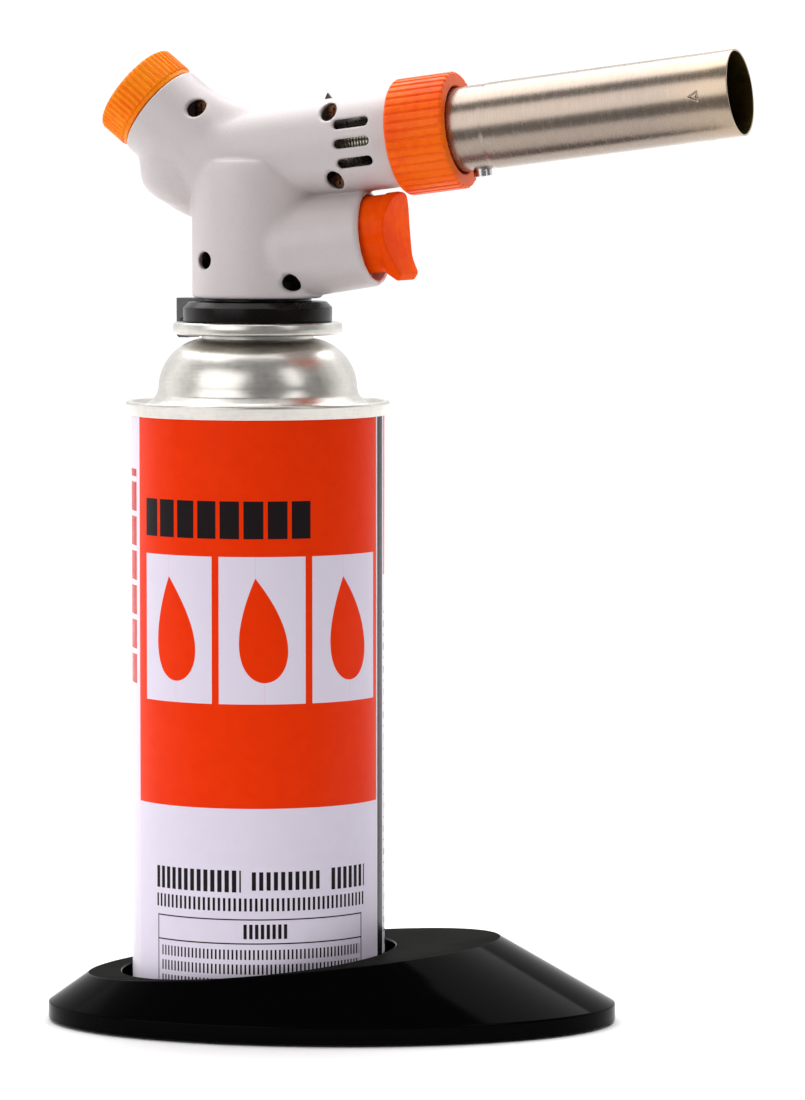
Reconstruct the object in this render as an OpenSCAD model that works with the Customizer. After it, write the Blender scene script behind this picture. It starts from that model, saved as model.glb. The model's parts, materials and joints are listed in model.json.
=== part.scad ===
// Butane torch: a burner head on a cassette-type gas can, standing in an oval stand.
// +X is the way the burner points, +Z is up, and the origin is on the can's axis
// at the surface that the stand rests on.

/* [Stand] */
// Half length of the stand's oval foot
stand_a = 74.8; // [70:0.1:85]
// Half width of the stand's oval foot
stand_b = 47.4; // [46:0.1:56]
// Turn of the stand's long axis from the burner's direction
stand_yaw = 17.5; // [-30:0.5:30]
// Height of the stand's top face at its middle
stand_top_z = 17.4; // [16:0.1:20]
// Rise of the stand's top face towards its long end, in degrees
stand_slope = 5.2; // [0:0.1:6]
// Radius of the well that holds the can
well_r = 36; // [35.5:0.1:36.2]

/* [Can] */
// Radius of the can's side wall
can_r = 33; // [32:0.1:33]
// Height of the side wall's top edge
can_top_z = 159.7; // [150:0.1:159.7]
// Radius of the rolled flange that the head locks on
flange_r = 21.9; // [21.5:0.1:21.9]

/* [Head] */
// Radius of the upright column of the housing
column_r = 17.1; // [16.5:0.1:17.5]
// Outer radius of the barrel of the housing
barrel_r = 12.6; // [12.4:0.1:12.8]
// Upward tilt of the barrel and the trigger, in degrees
tilt = 7.15; // [5:0.05:9]
// Upward tilt of the flow knob's axis, in degrees
knob_rise = 39; // [37:0.5:41]
// Outer radius of the flow knob
knob_r = 13; // [12.8:0.1:14]
// Number of grip ribs on the flow knob
knob_ribs = 50; // [30:1:60]

/* [Burner] */
// Outer radius of the air ring
ring_r = 15.15; // [14.6:0.05:16]
// Number of grip ribs on the air ring
ring_ribs = 40; // [30:1:50]
// Outer radius of the burner tube
tube_r = 11.1; // [11:0.05:11.2]
// Distance along the barrel axis from the can's axis to the burner's mouth
mouth_u = 132.7; // [110:0.1:150]

/* [Hidden] */
$fn = 64;
eps = 0.01;

// Stand: grip sheet and weight plate under a hollow shell
sheet_t = 1.0;
plate_z = 2.5;
shell_z = 0.6;
rim_h = 5;
shell_wall = 2.5;
foot_offset = 19.2;
top_offset = 9.3;
top_a = 54.6;
top_b = 37.5;
well_wall_r = well_r + 2;
plate_inset = 1.8;
stand_screw_points = [[-45.5, 0], [44, 24], [44, -24], [80, 0]];
stand_boss_r = 3.4;
stand_pilot_r = 1.3;

// Can: heights of its features above the table
can_floor_z = plate_z;
can_wall = 0.3;
seam_r = can_r + 1.5;
seam_h = 3.7;
neck_r = 14.6;
dome_foot_r = 25.7;
dome_round_r = 12.95;
dome_t = 0.5;
dome_mid_h = 6.9;
neck_z = 180.6;
flange_z = 180.7;
flange_top_z = 184;
flange_t = 0.6;
stem_r = 2;
stem_top_z = 186;
valve_top_z = 180.3;
valve_base_z = 164;

// Connector: ring that sits on the flange, with a hooked lug through its notch
ring_seat_z = 184.1;
connector_r = 19.3;
connector_top_z = 189.3;
connector_neck_r = 14.1;
connector_bore_r = 8;
lug_angle = 172;
lug_half_w = 3;
lug_out_r = 23.1;
lug_in_r = 22.15;
lug_hook_r = 19.4;
lug_foot_z = 179.6;
lug_top_z = 190;
unlock_turn = -40;
notch_half_w = 4;

// Housing
housing_z = 190.6;
barrel_z = 226.9;
barrel_end_u = 41;
barrel_neck_r = 11.9;
barrel_neck_u = 46;
barrel_bore_r = 11;
shoulder_z = 218;
shoulder_top_z = 227;
shoulder_top_r = 13.8;
wall = 2;
throat_r = 12.9;
throat_len = 34;
belly_low = [-19.9, 0, 222.1];
belly_high = [-21.5, 0, 232];
belly_r = 11.7;
belly_end_r = 11.2;
screw_points = [[-13.9, 239.6], [23.2, 238.5], [24.9, 221.1], [-9.2, 200.2], [13.5, 194.6]];
screw_recess_r = 2.25;
screw_boss_r = 2.6;
screw_head_y = -3;
screw_end_y = 7;
vent_u = 31.1;
vent_len = 9.8;
vent_w = 2.4;
vent_pitch = 5.05;
mark_u = 21.7;

// Flow knob: the middle of its seat on the housing, and its own length
knob_x = -27.4;
knob_z = 239.2;
knob_gap = 0.3;
knob_h = 9.3;
knob_chamfer = 0.6;
needle_r = 2.45;
gland_r = 4.5;
gland_hole_r = 6.3;

// Trigger: the middle of the boss's open face, and distances along its axis
boss_x = 32.7;
boss_z = 207;
boss_r = 12.4;
boss_root_r = 14.4;
boss_len = 26;
boss_drop = 1;
boss_bore_r = 10.35;
boss_bore_len = 15;
boss_relief_r = 10.9;
boss_relief_len = 4;
shank_r = 10.1;
shank_back = -10;
shank_hollow_r = 8;
shank_hollow_end = 2;
scoop_r = 23;
scoop_centre = [29.2, -1];
piezo_back = -27;
piezo_front = -7;
piezo_half = 4.5;
plunger_half = 3.7;
plunger_back = -8;

// Burner: distances along the barrel axis
ring_back_u = 41.15;
ring_front_u = 57;
web_u = 46.3;
web_t = 2;
tube_back_u = 49.5;
swage_u = 66;
swage_r = tube_r - 0.5;
tube_wall = 0.5;
plug_u = 52;
plug_front_u = 64;
plug_r = swage_r - tube_wall;
mixer_r = 5.5;
mixer_bore_r = 4.7;
mixer_back_u = 10;
holder_u = 104;
holder_t = 3;
dimple_u = 120;
burner_screw_u = 61.6;
electrode_r = 7.6;
electrode_turn = 40;
electrode_u = 50;
holder_hole_r = 1.5;
web_hole_r = 9.9;
shutter_back_u = 28.4;
shutter_r = barrel_bore_r - 0.1;
shutter_bore_r = 10.3;
shutter_window = 13.6;
lead_r = 0.7;
lead_route = [
    [8.5, 0.5, 209.3], [7, 4, 214], [20, 6, 223.5], [27, 5.6, 225.4], [33, 5, 225], [49.2, 4.9, 227.2]
];
lead_passage_r = 2.2;

// ---- Frames ----
// Local Z runs forward along the barrel axis, and local X points down.
module barrel_frame() {
    translate([0, 0, barrel_z]) rotate([0, 90 - tilt, 0]) children();
}

// Local Z runs forward out of the trigger boss, and local X points down.
module boss_frame() {
    translate([boss_x, 0, boss_z]) rotate([0, 90 - tilt, 0]) children();
}

// Local Z runs out of the flow knob, up and back.
module knob_frame() {
    translate([knob_x, 0, knob_z]) rotate([0, knob_rise - 90, 0]) children();
}

// Local Z runs forward along the electrode, and local X points away from the barrel axis.
module electrode_frame() {
    barrel_frame() rotate([0, 0, electrode_turn]) translate([electrode_r, 0, electrode_u]) children();
}

// Local X is the long axis of the stand's oval.
module stand_frame() {
    rotate([0, 0, stand_yaw]) children();
}

// ---- Shared shapes ----
module pipe(r_out, r_in, h) {
    difference() {
        cylinder(r = r_out, h = h);
        translate([0, 0, -1]) cylinder(r = r_in, h = h + 2);
    }
}

module oval(a, b) {
    polygon([for (i = [0:119]) [a * cos(i * 3), b * sin(i * 3)]]);
}

// A round bar between two points
module bar(from, to, r) {
    run = to - from;
    length = norm(run);
    translate(from)
        rotate([0, acos(run[2] / length), atan2(run[1], run[0])])
            cylinder(r = r, h = length);
}

// Straight grip grooves round a turned part
module grip_grooves(r, count, z0, z1, groove_r) {
    for (i = [0:count - 1])
        rotate([0, 0, i * 360 / count])
            translate([r + groove_r * 0.25, 0, z0]) cylinder(r = groove_r, h = z1 - z0);
}

// A helical spring that stands on z = 0
function coil_ring(r, wire, h, turns, steps, k) =
    let (turn = 360 * turns * k / steps)
    [for (j = [0:7])
        [(r + wire * cos(j * 45)) * cos(turn), (r + wire * cos(j * 45)) * sin(turn),
         wire + (h - 2 * wire) * k / steps + wire * sin(j * 45)]];

module coil(r, wire, h, turns) {
    steps = turns * 18;
    points = [for (k = [0:steps]) each coil_ring(r, wire, h, turns, steps, k)];
    sides = [for (k = [0:steps - 1]) for (j = [0:7])
        [k * 8 + j, k * 8 + (j + 1) % 8, (k + 1) * 8 + (j + 1) % 8, (k + 1) * 8 + j]];
    start_cap = [[for (j = [7:-1:0]) j]];
    end_cap = [[for (j = [0:7]) steps * 8 + j]];
    polyhedron(points, concat(sides, start_cap, end_cap), convexity = 8);
}

// A thin lead along a route: its rings lean halfway between neighbouring stretches
function unit(v) = v / norm(v);
function route_way(p, i) =
    unit((i < len(p) - 1 ? unit(p[i + 1] - p[i]) : [0, 0, 0])
        + (i > 0 ? unit(p[i] - p[i - 1]) : [0, 0, 0]));
function route_ring(p, i, r) =
    let (way = route_way(p, i), side = unit(cross(way, [0, 1, 0])), up = cross(side, way))
    [for (j = [0:7]) p[i] + r * (cos(j * 45) * side + sin(j * 45) * up)];

module swept_tube(p, r) {
    last = len(p) - 1;
    points = [for (i = [0:last]) each route_ring(p, i, r)];
    sides = [for (i = [0:last - 1]) for (j = [0:7])
        [i * 8 + j, i * 8 + (j + 1) % 8, (i + 1) * 8 + (j + 1) % 8, (i + 1) * 8 + j]];
    start_cap = [[for (j = [7:-1:0]) j]];
    end_cap = [[for (j = [0:7]) last * 8 + j]];
    polyhedron(points, concat(sides, start_cap, end_cap), convexity = 8);
}

// ---- Stand ----
module stand_solid(inset, z0, lower) {
    hull() {
        translate([foot_offset, 0, z0])
            linear_extrude(rim_h - z0 - lower) oval(stand_a - inset, stand_b - inset);
        translate([top_offset, 0, stand_top_z - lower]) rotate([0, -stand_slope, 0])
            translate([0, 0, -0.2]) linear_extrude(0.2) oval(top_a - inset, top_b - inset);
    }
}

module stand_hollow() {
    difference() {
        stand_solid(shell_wall, 0, shell_wall);
        translate([0, 0, -1]) cylinder(r = well_wall_r, h = 40);
        for (p = stand_screw_points)
            translate([p[0], p[1], -1]) cylinder(r = stand_boss_r, h = 40);
    }
}

module stand_shell() {
    color("#141416") stand_frame() difference() {
        stand_solid(0, shell_z, 0);
        stand_hollow();
        translate([0, 0, -1]) cylinder(r = well_r, h = 40);
        translate([foot_offset, 0, -1])
            linear_extrude(plate_z + 1) oval(stand_a - plate_inset, stand_b - plate_inset);
        for (p = stand_screw_points)
            translate([p[0], p[1], 0]) cylinder(r = stand_pilot_r, h = 8);
    }
}

module stand_base_plate() {
    color("#8d9094") stand_frame() difference() {
        translate([foot_offset, 0, sheet_t])
            linear_extrude(plate_z - sheet_t) oval(stand_a - 2, stand_b - 2);
        for (p = stand_screw_points)
            translate([p[0], p[1], 0]) {
                cylinder(r = 1.6, h = 4);
                translate([0, 0, sheet_t - eps]) cylinder(r = 2.9, h = 0.7 + eps);
            }
    }
}

module stand_screws() {
    color("#9a9a9e") stand_frame()
        for (p = stand_screw_points) translate([p[0], p[1], sheet_t + 0.05]) {
            cylinder(r = 2.7, h = 0.6);
            cylinder(r = stand_pilot_r, h = 6.2);
        }
}

module stand_grip_sheet() {
    color("#26262a") stand_frame() translate([foot_offset, 0, 0])
        linear_extrude(sheet_t) oval(stand_a - 2.4, stand_b - 2.4);
}

// ---- Can ----
module can_body() {
    color("#e8501e") translate([0, 0, can_floor_z + seam_h])
        pipe(can_r, can_r - can_wall, can_top_z - can_floor_z - seam_h);
}

module can_base_cap() {
    dish = 5;
    sag_r = (pow(can_r - 2, 2) + dish * dish) / (2 * dish);
    color("#b9bbb8") translate([0, 0, can_floor_z]) rotate_extrude() difference() {
        union() {
            translate([can_r - 2, 0]) square([seam_r - can_r + 2, seam_h]);
            intersection() {
                translate([0, 1.4 + dish - sag_r]) circle(r = sag_r, $fn = 180);
                square([can_r - 1, 12]);
            }
        }
        translate([0, 0.8 + dish - sag_r]) circle(r = sag_r, $fn = 180);
        translate([-200, -50]) square([200, 100]);
    }
}

// Section of the dome: rolled seam, countersink, flared foot, round dome and neck
module dome_section() {
    translate([0, can_top_z]) {
        polygon([
            [31.8, 0], [33.5, 0], [34.3, 2.4], [seam_r, 3.3], [34.2, seam_h],
            [32.7, seam_h], [32.4, 3.4], [32.3, 0.7], [31.8, 0.5]
        ]);
        polygon([
            [31.9, 0.5], [30.3, 0.9], [29.3, 2.8], [27.6, 3.8], [26.3, 5.2], [dome_foot_r, 7],
            [dome_foot_r - dome_t, 6.8], [25.8, 4.9], [27.2, 3.3], [28.9, 2.3], [30, 0.3], [31.9, 0]
        ]);
    }
    intersection() {
        translate([dome_foot_r - dome_round_r, can_top_z + dome_mid_h]) difference() {
            circle(r = dome_round_r, $fn = 120);
            circle(r = dome_round_r - dome_t, $fn = 120);
        }
        translate([neck_r - dome_t, can_top_z + dome_mid_h]) square([20, 20]);
    }
    translate([neck_r - dome_t, neck_z - 1.6]) square([dome_t, 1.6]);
}

module can_dome() {
    color("#b9bbb8") rotate_extrude() dome_section();
}

module can_mounting_cup() {
    color("#c3c4c0") difference() {
        union() {
            translate([0, 0, flange_z + 0.2])
                pipe(flange_r, flange_r - 0.8, flange_top_z - flange_z - 0.2);
            translate([0, 0, flange_top_z - flange_t]) pipe(flange_r, stem_r + 0.3, flange_t);
            translate([0, 0, neck_z]) pipe(neck_r - 0.4, neck_r - 1, flange_top_z - neck_z);
        }
        rotate([0, 0, lug_angle + unlock_turn])
            translate([20.6, -notch_half_w, flange_z - 1]) cube([4, 2 * notch_half_w, 6]);
    }
}

module can_valve_housing() {
    color("#e6e4dc") difference() {
        union() {
            translate([0, 0, valve_base_z]) cylinder(r = 4.6, h = valve_top_z - valve_base_z);
            translate([0, 0, valve_top_z]) cylinder(r = 8, h = flange_top_z - flange_t - valve_top_z);
        }
        translate([0, 0, valve_base_z + 2]) cylinder(r = 3.2, h = 14.5);
        translate([0, 0, valve_base_z + 16]) cylinder(r = stem_r + 0.1, h = 10);
        translate([0, 0, valve_base_z - 1]) cylinder(r = 0.8, h = 4);
    }
}

module can_valve_spring() {
    color("#c9cacd") translate([0, 0, valve_base_z + 2.05]) coil(2.3, 0.35, 7.8, 5);
}

module can_valve_stem() {
    color("#d8d6cf") difference() {
        union() {
            translate([0, 0, valve_base_z + 10]) cylinder(r = 3, h = 1.6);
            translate([0, 0, valve_base_z + 10]) cylinder(r = stem_r, h = stem_top_z - valve_base_z - 10);
        }
        translate([0, 0, valve_base_z + 13]) cylinder(r = 0.6, h = 20);
    }
}

// Bent pick-up tube that draws vapour from under the flange's notch
module can_vapour_tube() {
    elbow = [0, 0, valve_base_z - 9];
    reach = [-16, 11, valve_base_z - 5];
    color("#dedcd4") difference() {
        union() {
            bar([0, 0, valve_base_z], elbow, 1.6);
            translate(elbow) sphere(r = 1.6);
            bar(elbow, reach, 1.6);
        }
        bar([0, 0, valve_base_z + 1], elbow, 0.8);
        bar(elbow, elbow + 1.2 * (reach - elbow), 0.8);
    }
}

// ---- Connector ----
module connector_ring() {
    chamfer = 1.5;
    color("#231b1b") difference() {
        union() {
            translate([0, 0, ring_seat_z])
                cylinder(r = connector_r, h = connector_top_z - ring_seat_z - chamfer);
            translate([0, 0, connector_top_z - chamfer])
                cylinder(r1 = connector_r, r2 = connector_r - chamfer, h = chamfer);
            translate([0, 0, connector_top_z]) cylinder(r = connector_neck_r, h = 5.5);
            translate([0, 0, housing_z + wall + 0.2]) cylinder(r = column_r - wall - 0.2, h = 2);
        }
        translate([0, 0, ring_seat_z - 1]) cylinder(r = connector_bore_r, h = 20);
        screw_cylinder(screw_points[4], screw_boss_r + 0.2, -30, 30);
    }
}

// Hooked claw that passes down through the notch and grips under the flange
module locking_lug() {
    color("#55565a") rotate([0, 0, lug_angle]) intersection() {
        rotate_extrude() polygon([
            [connector_neck_r + 0.2, connector_top_z + 0.05], [lug_hook_r, connector_top_z + 0.05],
            [lug_hook_r, ring_seat_z + 1.6], [lug_in_r, ring_seat_z + 0.4],
            [lug_in_r, flange_z - 0.2], [lug_hook_r, flange_z - 0.2],
            [lug_hook_r, lug_foot_z + 0.3], [lug_hook_r + 0.4, lug_foot_z],
            [lug_out_r - 0.6, lug_foot_z], [lug_out_r, lug_foot_z + 0.6],
            [lug_out_r, lug_top_z], [connector_neck_r + 0.2, lug_top_z]
        ]);
        translate([0, -lug_half_w, 170]) cube([40, 2 * lug_half_w, 40]);
    }
}

module inlet_seal() {
    color("#1c1c1e") translate([0, 0, stem_top_z + 0.05]) pipe(3.4, 1, 1);
}

module inlet_spigot() {
    color("#c8a24a") translate([0, 0, stem_top_z + 1.05]) pipe(4, 1.2, 16);
}

// ---- Housing ----
module screw_cylinder(p, r, y0, y1) {
    translate([p[0], y0, p[1]]) rotate([-90, 0, 0]) cylinder(r = r, h = y1 - y0);
}

module housing_outer() {
    translate([0, 0, housing_z + 0.6]) cylinder(r = column_r, h = shoulder_z - housing_z - 0.6);
    translate([0, 0, housing_z]) cylinder(r1 = column_r - 0.6, r2 = column_r, h = 0.6);
    translate([0, 0, shoulder_z])
        cylinder(r1 = column_r, r2 = shoulder_top_r, h = shoulder_top_z - shoulder_z);
    barrel_frame() translate([0, 0, -6]) cylinder(r = barrel_r, h = barrel_end_u + 6);
    barrel_frame() cylinder(r = barrel_neck_r, h = barrel_neck_u);
    knob_frame() translate([0, 0, -throat_len]) cylinder(r = throat_r, h = throat_len);
    bar(belly_low, belly_high, belly_r);
    translate(belly_low) sphere(r = belly_end_r);
    boss_frame() translate([boss_drop, 0, -boss_len])
        cylinder(r1 = boss_root_r, r2 = boss_r, h = boss_len);
}

module housing_hollow() {
    difference() {
        union() {
            translate([0, 0, housing_z + wall])
                cylinder(r = column_r - wall, h = shoulder_z - housing_z - wall - 1);
            barrel_frame() translate([0, 0, -4]) cylinder(r = barrel_bore_r, h = 60);
            knob_frame() translate([0, 0, -throat_len]) cylinder(r = throat_r - wall, h = throat_len - wall);
            bar(belly_low, belly_high, belly_r - wall);
            translate(belly_low) sphere(r = belly_end_r - wall);
        }
        for (p = screw_points) screw_cylinder(p, screw_boss_r, -30, 30);
    }
    translate([0, 0, housing_z - 1]) cylinder(r = connector_neck_r + 0.2, h = 5);
    knob_frame() translate([0, 0, -wall - 1]) cylinder(r = gland_hole_r, h = wall + 2);
    boss_frame() {
        translate([0, 0, -boss_bore_len]) cylinder(r = boss_bore_r, h = boss_bore_len + 1);
        translate([boss_drop, 0, -boss_relief_len]) cylinder(r = boss_relief_r, h = boss_relief_len + 1);
        translate([-piezo_half - 0.1, -piezo_half - 0.1, piezo_back - 0.5])
            cube([2 * piezo_half + 0.2, 2 * piezo_half + 0.2, 14]);
    }
    bar([9, 4, 213], lead_route[2], lead_passage_r);
}

module vents() {
    barrel_frame() for (k = [-1:1])
        translate([-k * vent_pitch, 0, vent_u]) rotate([90, 0, 0])
            for (s = [-1, 1]) {
                translate([0, s * (vent_len - vent_w) / 2, -20]) cylinder(r = vent_w / 2, h = 40);
                translate([-vent_w / 2, -(vent_len - vent_w) / 2, -20])
                    cube([vent_w, vent_len - vent_w, 40]);
            }
}

module housing() {
    difference() {
        housing_outer();
        housing_hollow();
        vents();
        translate([-50, -50, housing_z - 20]) cube([100, 100, 20]);
        for (p = screw_points) {
            screw_cylinder(p, screw_recess_r, -30, screw_head_y);
            screw_cylinder(p, 1.25, -10, screw_end_y);
        }
    }
}

module housing_right() {
    color("#cfc6c6") difference() {
        housing();
        translate([-60, 0, 180]) cube([140, 60, 90]);
    }
}

module housing_left() {
    color("#cfc6c6") difference() {
        housing();
        translate([-60, -60, 180]) cube([140, 60, 90]);
    }
}

module housing_screws() {
    color("#b87a4a") for (p = screw_points) difference() {
        union() {
            screw_cylinder(p, 2, screw_head_y - 1.5, screw_head_y);
            screw_cylinder(p, 1.25, screw_head_y, screw_end_y);
        }
        translate([p[0], screw_head_y - 1.6, p[1]]) for (turn = [0, 90])
            rotate([0, turn, 0]) translate([-1.3, 0, -0.25]) cube([2.6, 0.9, 0.5]);
    }
}

module index_mark() {
    color("#3a2a2a") barrel_frame() translate([-barrel_r - 0.02, 0.5, mark_u]) rotate([90, 0, 0])
        linear_extrude(1) polygon([[0, -0.9], [-1.5, 0], [0, 0.9]]);
}

// ---- Gas path ----
module valve_body() {
    color("#c8a24a") difference() {
        union() {
            translate([0, 0, stem_top_z + 17.05]) cylinder(r = 5, h = 13.8);
            barrel_frame() translate([0, 0, -7]) cylinder(r = mixer_bore_r - 0.05, h = 21);
            knob_frame() translate([0, 0, -34]) cylinder(r = gland_r, h = 31.5);
        }
        translate([0, 0, stem_top_z + 16]) cylinder(r = 1.2, h = 15);
        knob_frame() translate([0, 0, -28]) cylinder(r = needle_r + 0.05, h = 30);
        barrel_frame() translate([0, 0, -4]) cylinder(r = 1.2, h = 20);
    }
}

module jet_nozzle() {
    color("#d9b65a") barrel_frame() translate([0, 0, 14]) difference() {
        union() {
            cylinder(r = 3, h = 3.5, $fn = 6);
            translate([0, 0, 3.5]) cylinder(r1 = 2.2, r2 = 1.2, h = 2.5);
        }
        translate([0, 0, -1]) cylinder(r = 0.4, h = 10);
    }
}

// Mixing tube: air windows at its root and a plug that carries the burner tube
module mixing_tube() {
    color("#b9b4a8") barrel_frame() difference() {
        union() {
            translate([0, 0, mixer_back_u]) cylinder(r = mixer_r, h = plug_front_u - mixer_back_u);
            translate([0, 0, plug_u]) cylinder(r = plug_r, h = plug_front_u - plug_u);
        }
        translate([0, 0, mixer_back_u - 1]) cylinder(r = mixer_bore_r, h = 60);
        for (turn = [45, 135])
            rotate([0, 0, turn]) translate([-10, -1.6, 17]) cube([20, 3.2, 7]);
        rotate([0, 0, electrode_turn]) translate([electrode_r, 0, 40]) cylinder(r = 1.7, h = 30);
        translate([plug_r - 2.5, 0, burner_screw_u]) rotate([0, 90, 0]) cylinder(r = 1.05, h = 5);
    }
}

module burner_tube() {
    color("#bdb6ab") barrel_frame() difference() {
        union() {
            translate([0, 0, tube_back_u]) cylinder(r = swage_r, h = swage_u - tube_back_u);
            translate([0, 0, swage_u]) cylinder(r = tube_r, h = mouth_u - swage_u);
        }
        translate([0, 0, tube_back_u - 1]) cylinder(r = swage_r - tube_wall, h = swage_u - tube_back_u + 5);
        translate([0, 0, swage_u + tube_wall]) cylinder(r = tube_r - tube_wall, h = mouth_u);
        translate([8, 0, burner_screw_u]) rotate([0, 90, 0]) cylinder(r = 1.3, h = 6);
        for (turn = [0:90:270]) rotate([0, 0, turn]) translate([tube_r - 0.3, 0, dimple_u])
            rotate([0, 90, 0]) cylinder(r = 1.3, h = 2, $fn = 3);
    }
}

module flame_holder() {
    color("#c9a03c") barrel_frame() translate([0, 0, holder_u]) difference() {
        cylinder(r = tube_r - tube_wall - 0.02, h = holder_t);
        translate([0, 0, -1]) cylinder(r = 3.4, h = holder_t + 2);
        for (i = [0:9]) rotate([0, 0, i * 36 + 18])
            translate([electrode_r, 0, -1]) cylinder(r = holder_hole_r, h = holder_t + 2);
    }
}

module burner_screw() {
    color("#b5b2aa") barrel_frame() translate([0, 0, burner_screw_u]) rotate([0, 90, 0])
        difference() {
            union() {
                translate([0, 0, plug_r - 2.4]) cylinder(r = 1, h = 3);
                translate([0, 0, swage_r + 0.02]) cylinder(r = 2.4, h = 2);
            }
            for (turn = [45, 135]) rotate([0, 0, turn])
                translate([-1.5, -0.25, swage_r + 1.3]) cube([3, 0.5, 2]);
        }
}

// ---- Ignition ----
module electrode_insulator() {
    color("#f0ece0") electrode_frame() pipe(1.65, 0.65, 40);
}

module electrode() {
    color("#9b9a96") electrode_frame() {
        cylinder(r = 0.6, h = 51);
        translate([0, 0, 50.4]) rotate([0, -90, 0]) cylinder(r = 0.6, h = 3);
    }
}

// Lead from the igniter's terminal to the electrode, clipped under the mixing tube
module ignition_lead() {
    color("#2b2b2e") swept_tube(lead_route, lead_r);
}

module piezo_igniter() {
    color("#e9e7e1") boss_frame() difference() {
        translate([-piezo_half, -piezo_half, piezo_back])
            cube([2 * piezo_half, 2 * piezo_half, piezo_front - piezo_back]);
        translate([-plunger_half - 0.2, -plunger_half - 0.2, -15])
            cube([2 * plunger_half + 0.4, 2 * plunger_half + 0.4, 20]);
    }
}

module piezo_plunger() {
    color("#d8343a") boss_frame() translate([-plunger_half, -plunger_half, plunger_back])
        cube([2 * plunger_half, 2 * plunger_half, shank_hollow_end - plunger_back]);
}

module trigger_spring() {
    color("#c9cacd") boss_frame() translate([0, 0, piezo_front + 0.05])
        coil(6.3, 0.4, shank_hollow_end - piezo_front - 0.1, 4);
}

// ---- Trigger ----
// Side outline of the button: distance along its axis, then height above the axis
module trigger_outline() {
    difference() {
        polygon([
            [shank_back, shank_r + 0.5], [8.2, shank_r + 0.5], [9.6, 9.2], [9.6, 7],
            [9.6, -10.2], [8.8, -10.9], [7.2, -13.1], [4.3, -10.5], [4.3, -12], [shank_back, -12]
        ]);
        translate(scoop_centre) circle(r = scoop_r);
    }
}

module trigger_button() {
    lip_w = 6.4;
    lip_back = 4.3;
    color("#e8481c") boss_frame() difference() {
        intersection() {
            rotate([90, 0, 0]) rotate([0, 0, 90]) translate([0, 0, -20])
                linear_extrude(40) trigger_outline();
            union() {
                translate([0, 0, shank_back]) cylinder(r = shank_r, h = 24);
                translate([0, 0, lip_back]) linear_extrude(10) polygon([
                    [5.8, -8.2], [13.2, -lip_w], [13.2, lip_w], [5.8, 8.2]
                ]);
            }
        }
        translate([0, 0, shank_back - 1])
            cylinder(r = shank_hollow_r, h = shank_hollow_end - shank_back + 1);
    }
}

// ---- Flow knob ----
module flow_knob() {
    color("#f5701e") knob_frame() difference() {
        union() {
            translate([0, 0, knob_gap]) cylinder(r = knob_r, h = knob_h - knob_gap - knob_chamfer);
            translate([0, 0, knob_h - knob_chamfer])
                cylinder(r1 = knob_r, r2 = knob_r - knob_chamfer, h = knob_chamfer);
            translate([0, 0, -1.6]) cylinder(r = 5.4, h = 3);
        }
        translate([0, 0, -3]) cylinder(r = needle_r, h = 6);
        translate([0, 0, 2]) cylinder(r = 1.3, h = 10);
        translate([0, 0, knob_h - 2]) cylinder(r = 3, h = 4);
        grip_grooves(knob_r, knob_ribs, knob_gap + 1.2, knob_h, 0.38);
    }
}

module knob_screw() {
    color("#b5b2aa") knob_frame() difference() {
        union() {
            translate([0, 0, knob_h - 1.95]) cylinder(r = 2.4, h = 1.4);
            translate([0, 0, 3.05]) cylinder(r = 1.25, h = knob_h - 4.95);
        }
        for (turn = [0, 90]) rotate([0, 0, turn])
            translate([-1.5, -0.25, knob_h - 1.1]) cube([3, 0.5, 2]);
    }
}

module valve_needle() {
    color("#cbb06a") knob_frame() difference() {
        union() {
            translate([0, 0, -24]) cylinder(r = needle_r, h = 27);
            translate([0, 0, -27]) cylinder(r1 = 0.5, r2 = needle_r, h = 3);
        }
        translate([0, 0, -12]) pipe(needle_r + 1, 1.7, 1.4);
    }
}

module needle_seal() {
    color("#1c1c1e") knob_frame() translate([0, 0, -11.95]) pipe(needle_r, 1.72, 1.3);
}

// ---- Air ring ----
module air_ring() {
    color("#f5701e") barrel_frame() difference() {
        union() {
            translate([0, 0, ring_back_u]) cylinder(r1 = ring_r - 0.8, r2 = ring_r, h = 0.8);
            translate([0, 0, ring_back_u + 0.8]) cylinder(r = ring_r, h = ring_front_u - ring_back_u - 1.3);
            translate([0, 0, ring_front_u - 0.5]) cylinder(r1 = ring_r, r2 = ring_r - 0.5, h = 0.5);
        }
        translate([0, 0, ring_back_u - 1]) cylinder(r = barrel_neck_r + 0.1, h = web_u - ring_back_u + 1);
        translate([0, 0, ring_back_u]) cylinder(r = web_hole_r, h = 30);
        translate([0, 0, web_u + web_t]) cylinder(r = tube_r + 0.3, h = 30);
        grip_grooves(ring_r, ring_ribs, ring_back_u + 1, ring_front_u, 0.45);
    }
}

// Sleeve that turns with the ring and slides its solid sides over the vents
module air_shutter() {
    color("#a8a49c") barrel_frame() difference() {
        translate([0, 0, shutter_back_u])
            pipe(shutter_r, shutter_bore_r, web_u - shutter_back_u - 0.05);
        translate([-shutter_window / 2, -20, shutter_back_u - 1])
            cube([shutter_window, 40, vent_u + vent_len / 2 + 1.5 - shutter_back_u]);
    }
}

stand_shell();
stand_base_plate();
stand_screws();
stand_grip_sheet();
can_body();
can_base_cap();
can_dome();
can_mounting_cup();
can_valve_housing();
can_valve_spring();
can_valve_stem();
can_vapour_tube();
connector_ring();
locking_lug();
inlet_spigot();
inlet_seal();
housing_right();
housing_left();
housing_screws();
index_mark();
valve_body();
jet_nozzle();
mixing_tube();
burner_tube();
flame_holder();
burner_screw();
electrode();
electrode_insulator();
ignition_lead();
piezo_igniter();
flow_knob();
knob_screw();
valve_needle();
needle_seal();
air_ring();
air_shutter();
trigger_button();
piezo_plunger();
trigger_spring();
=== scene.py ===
import json
import math

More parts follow.
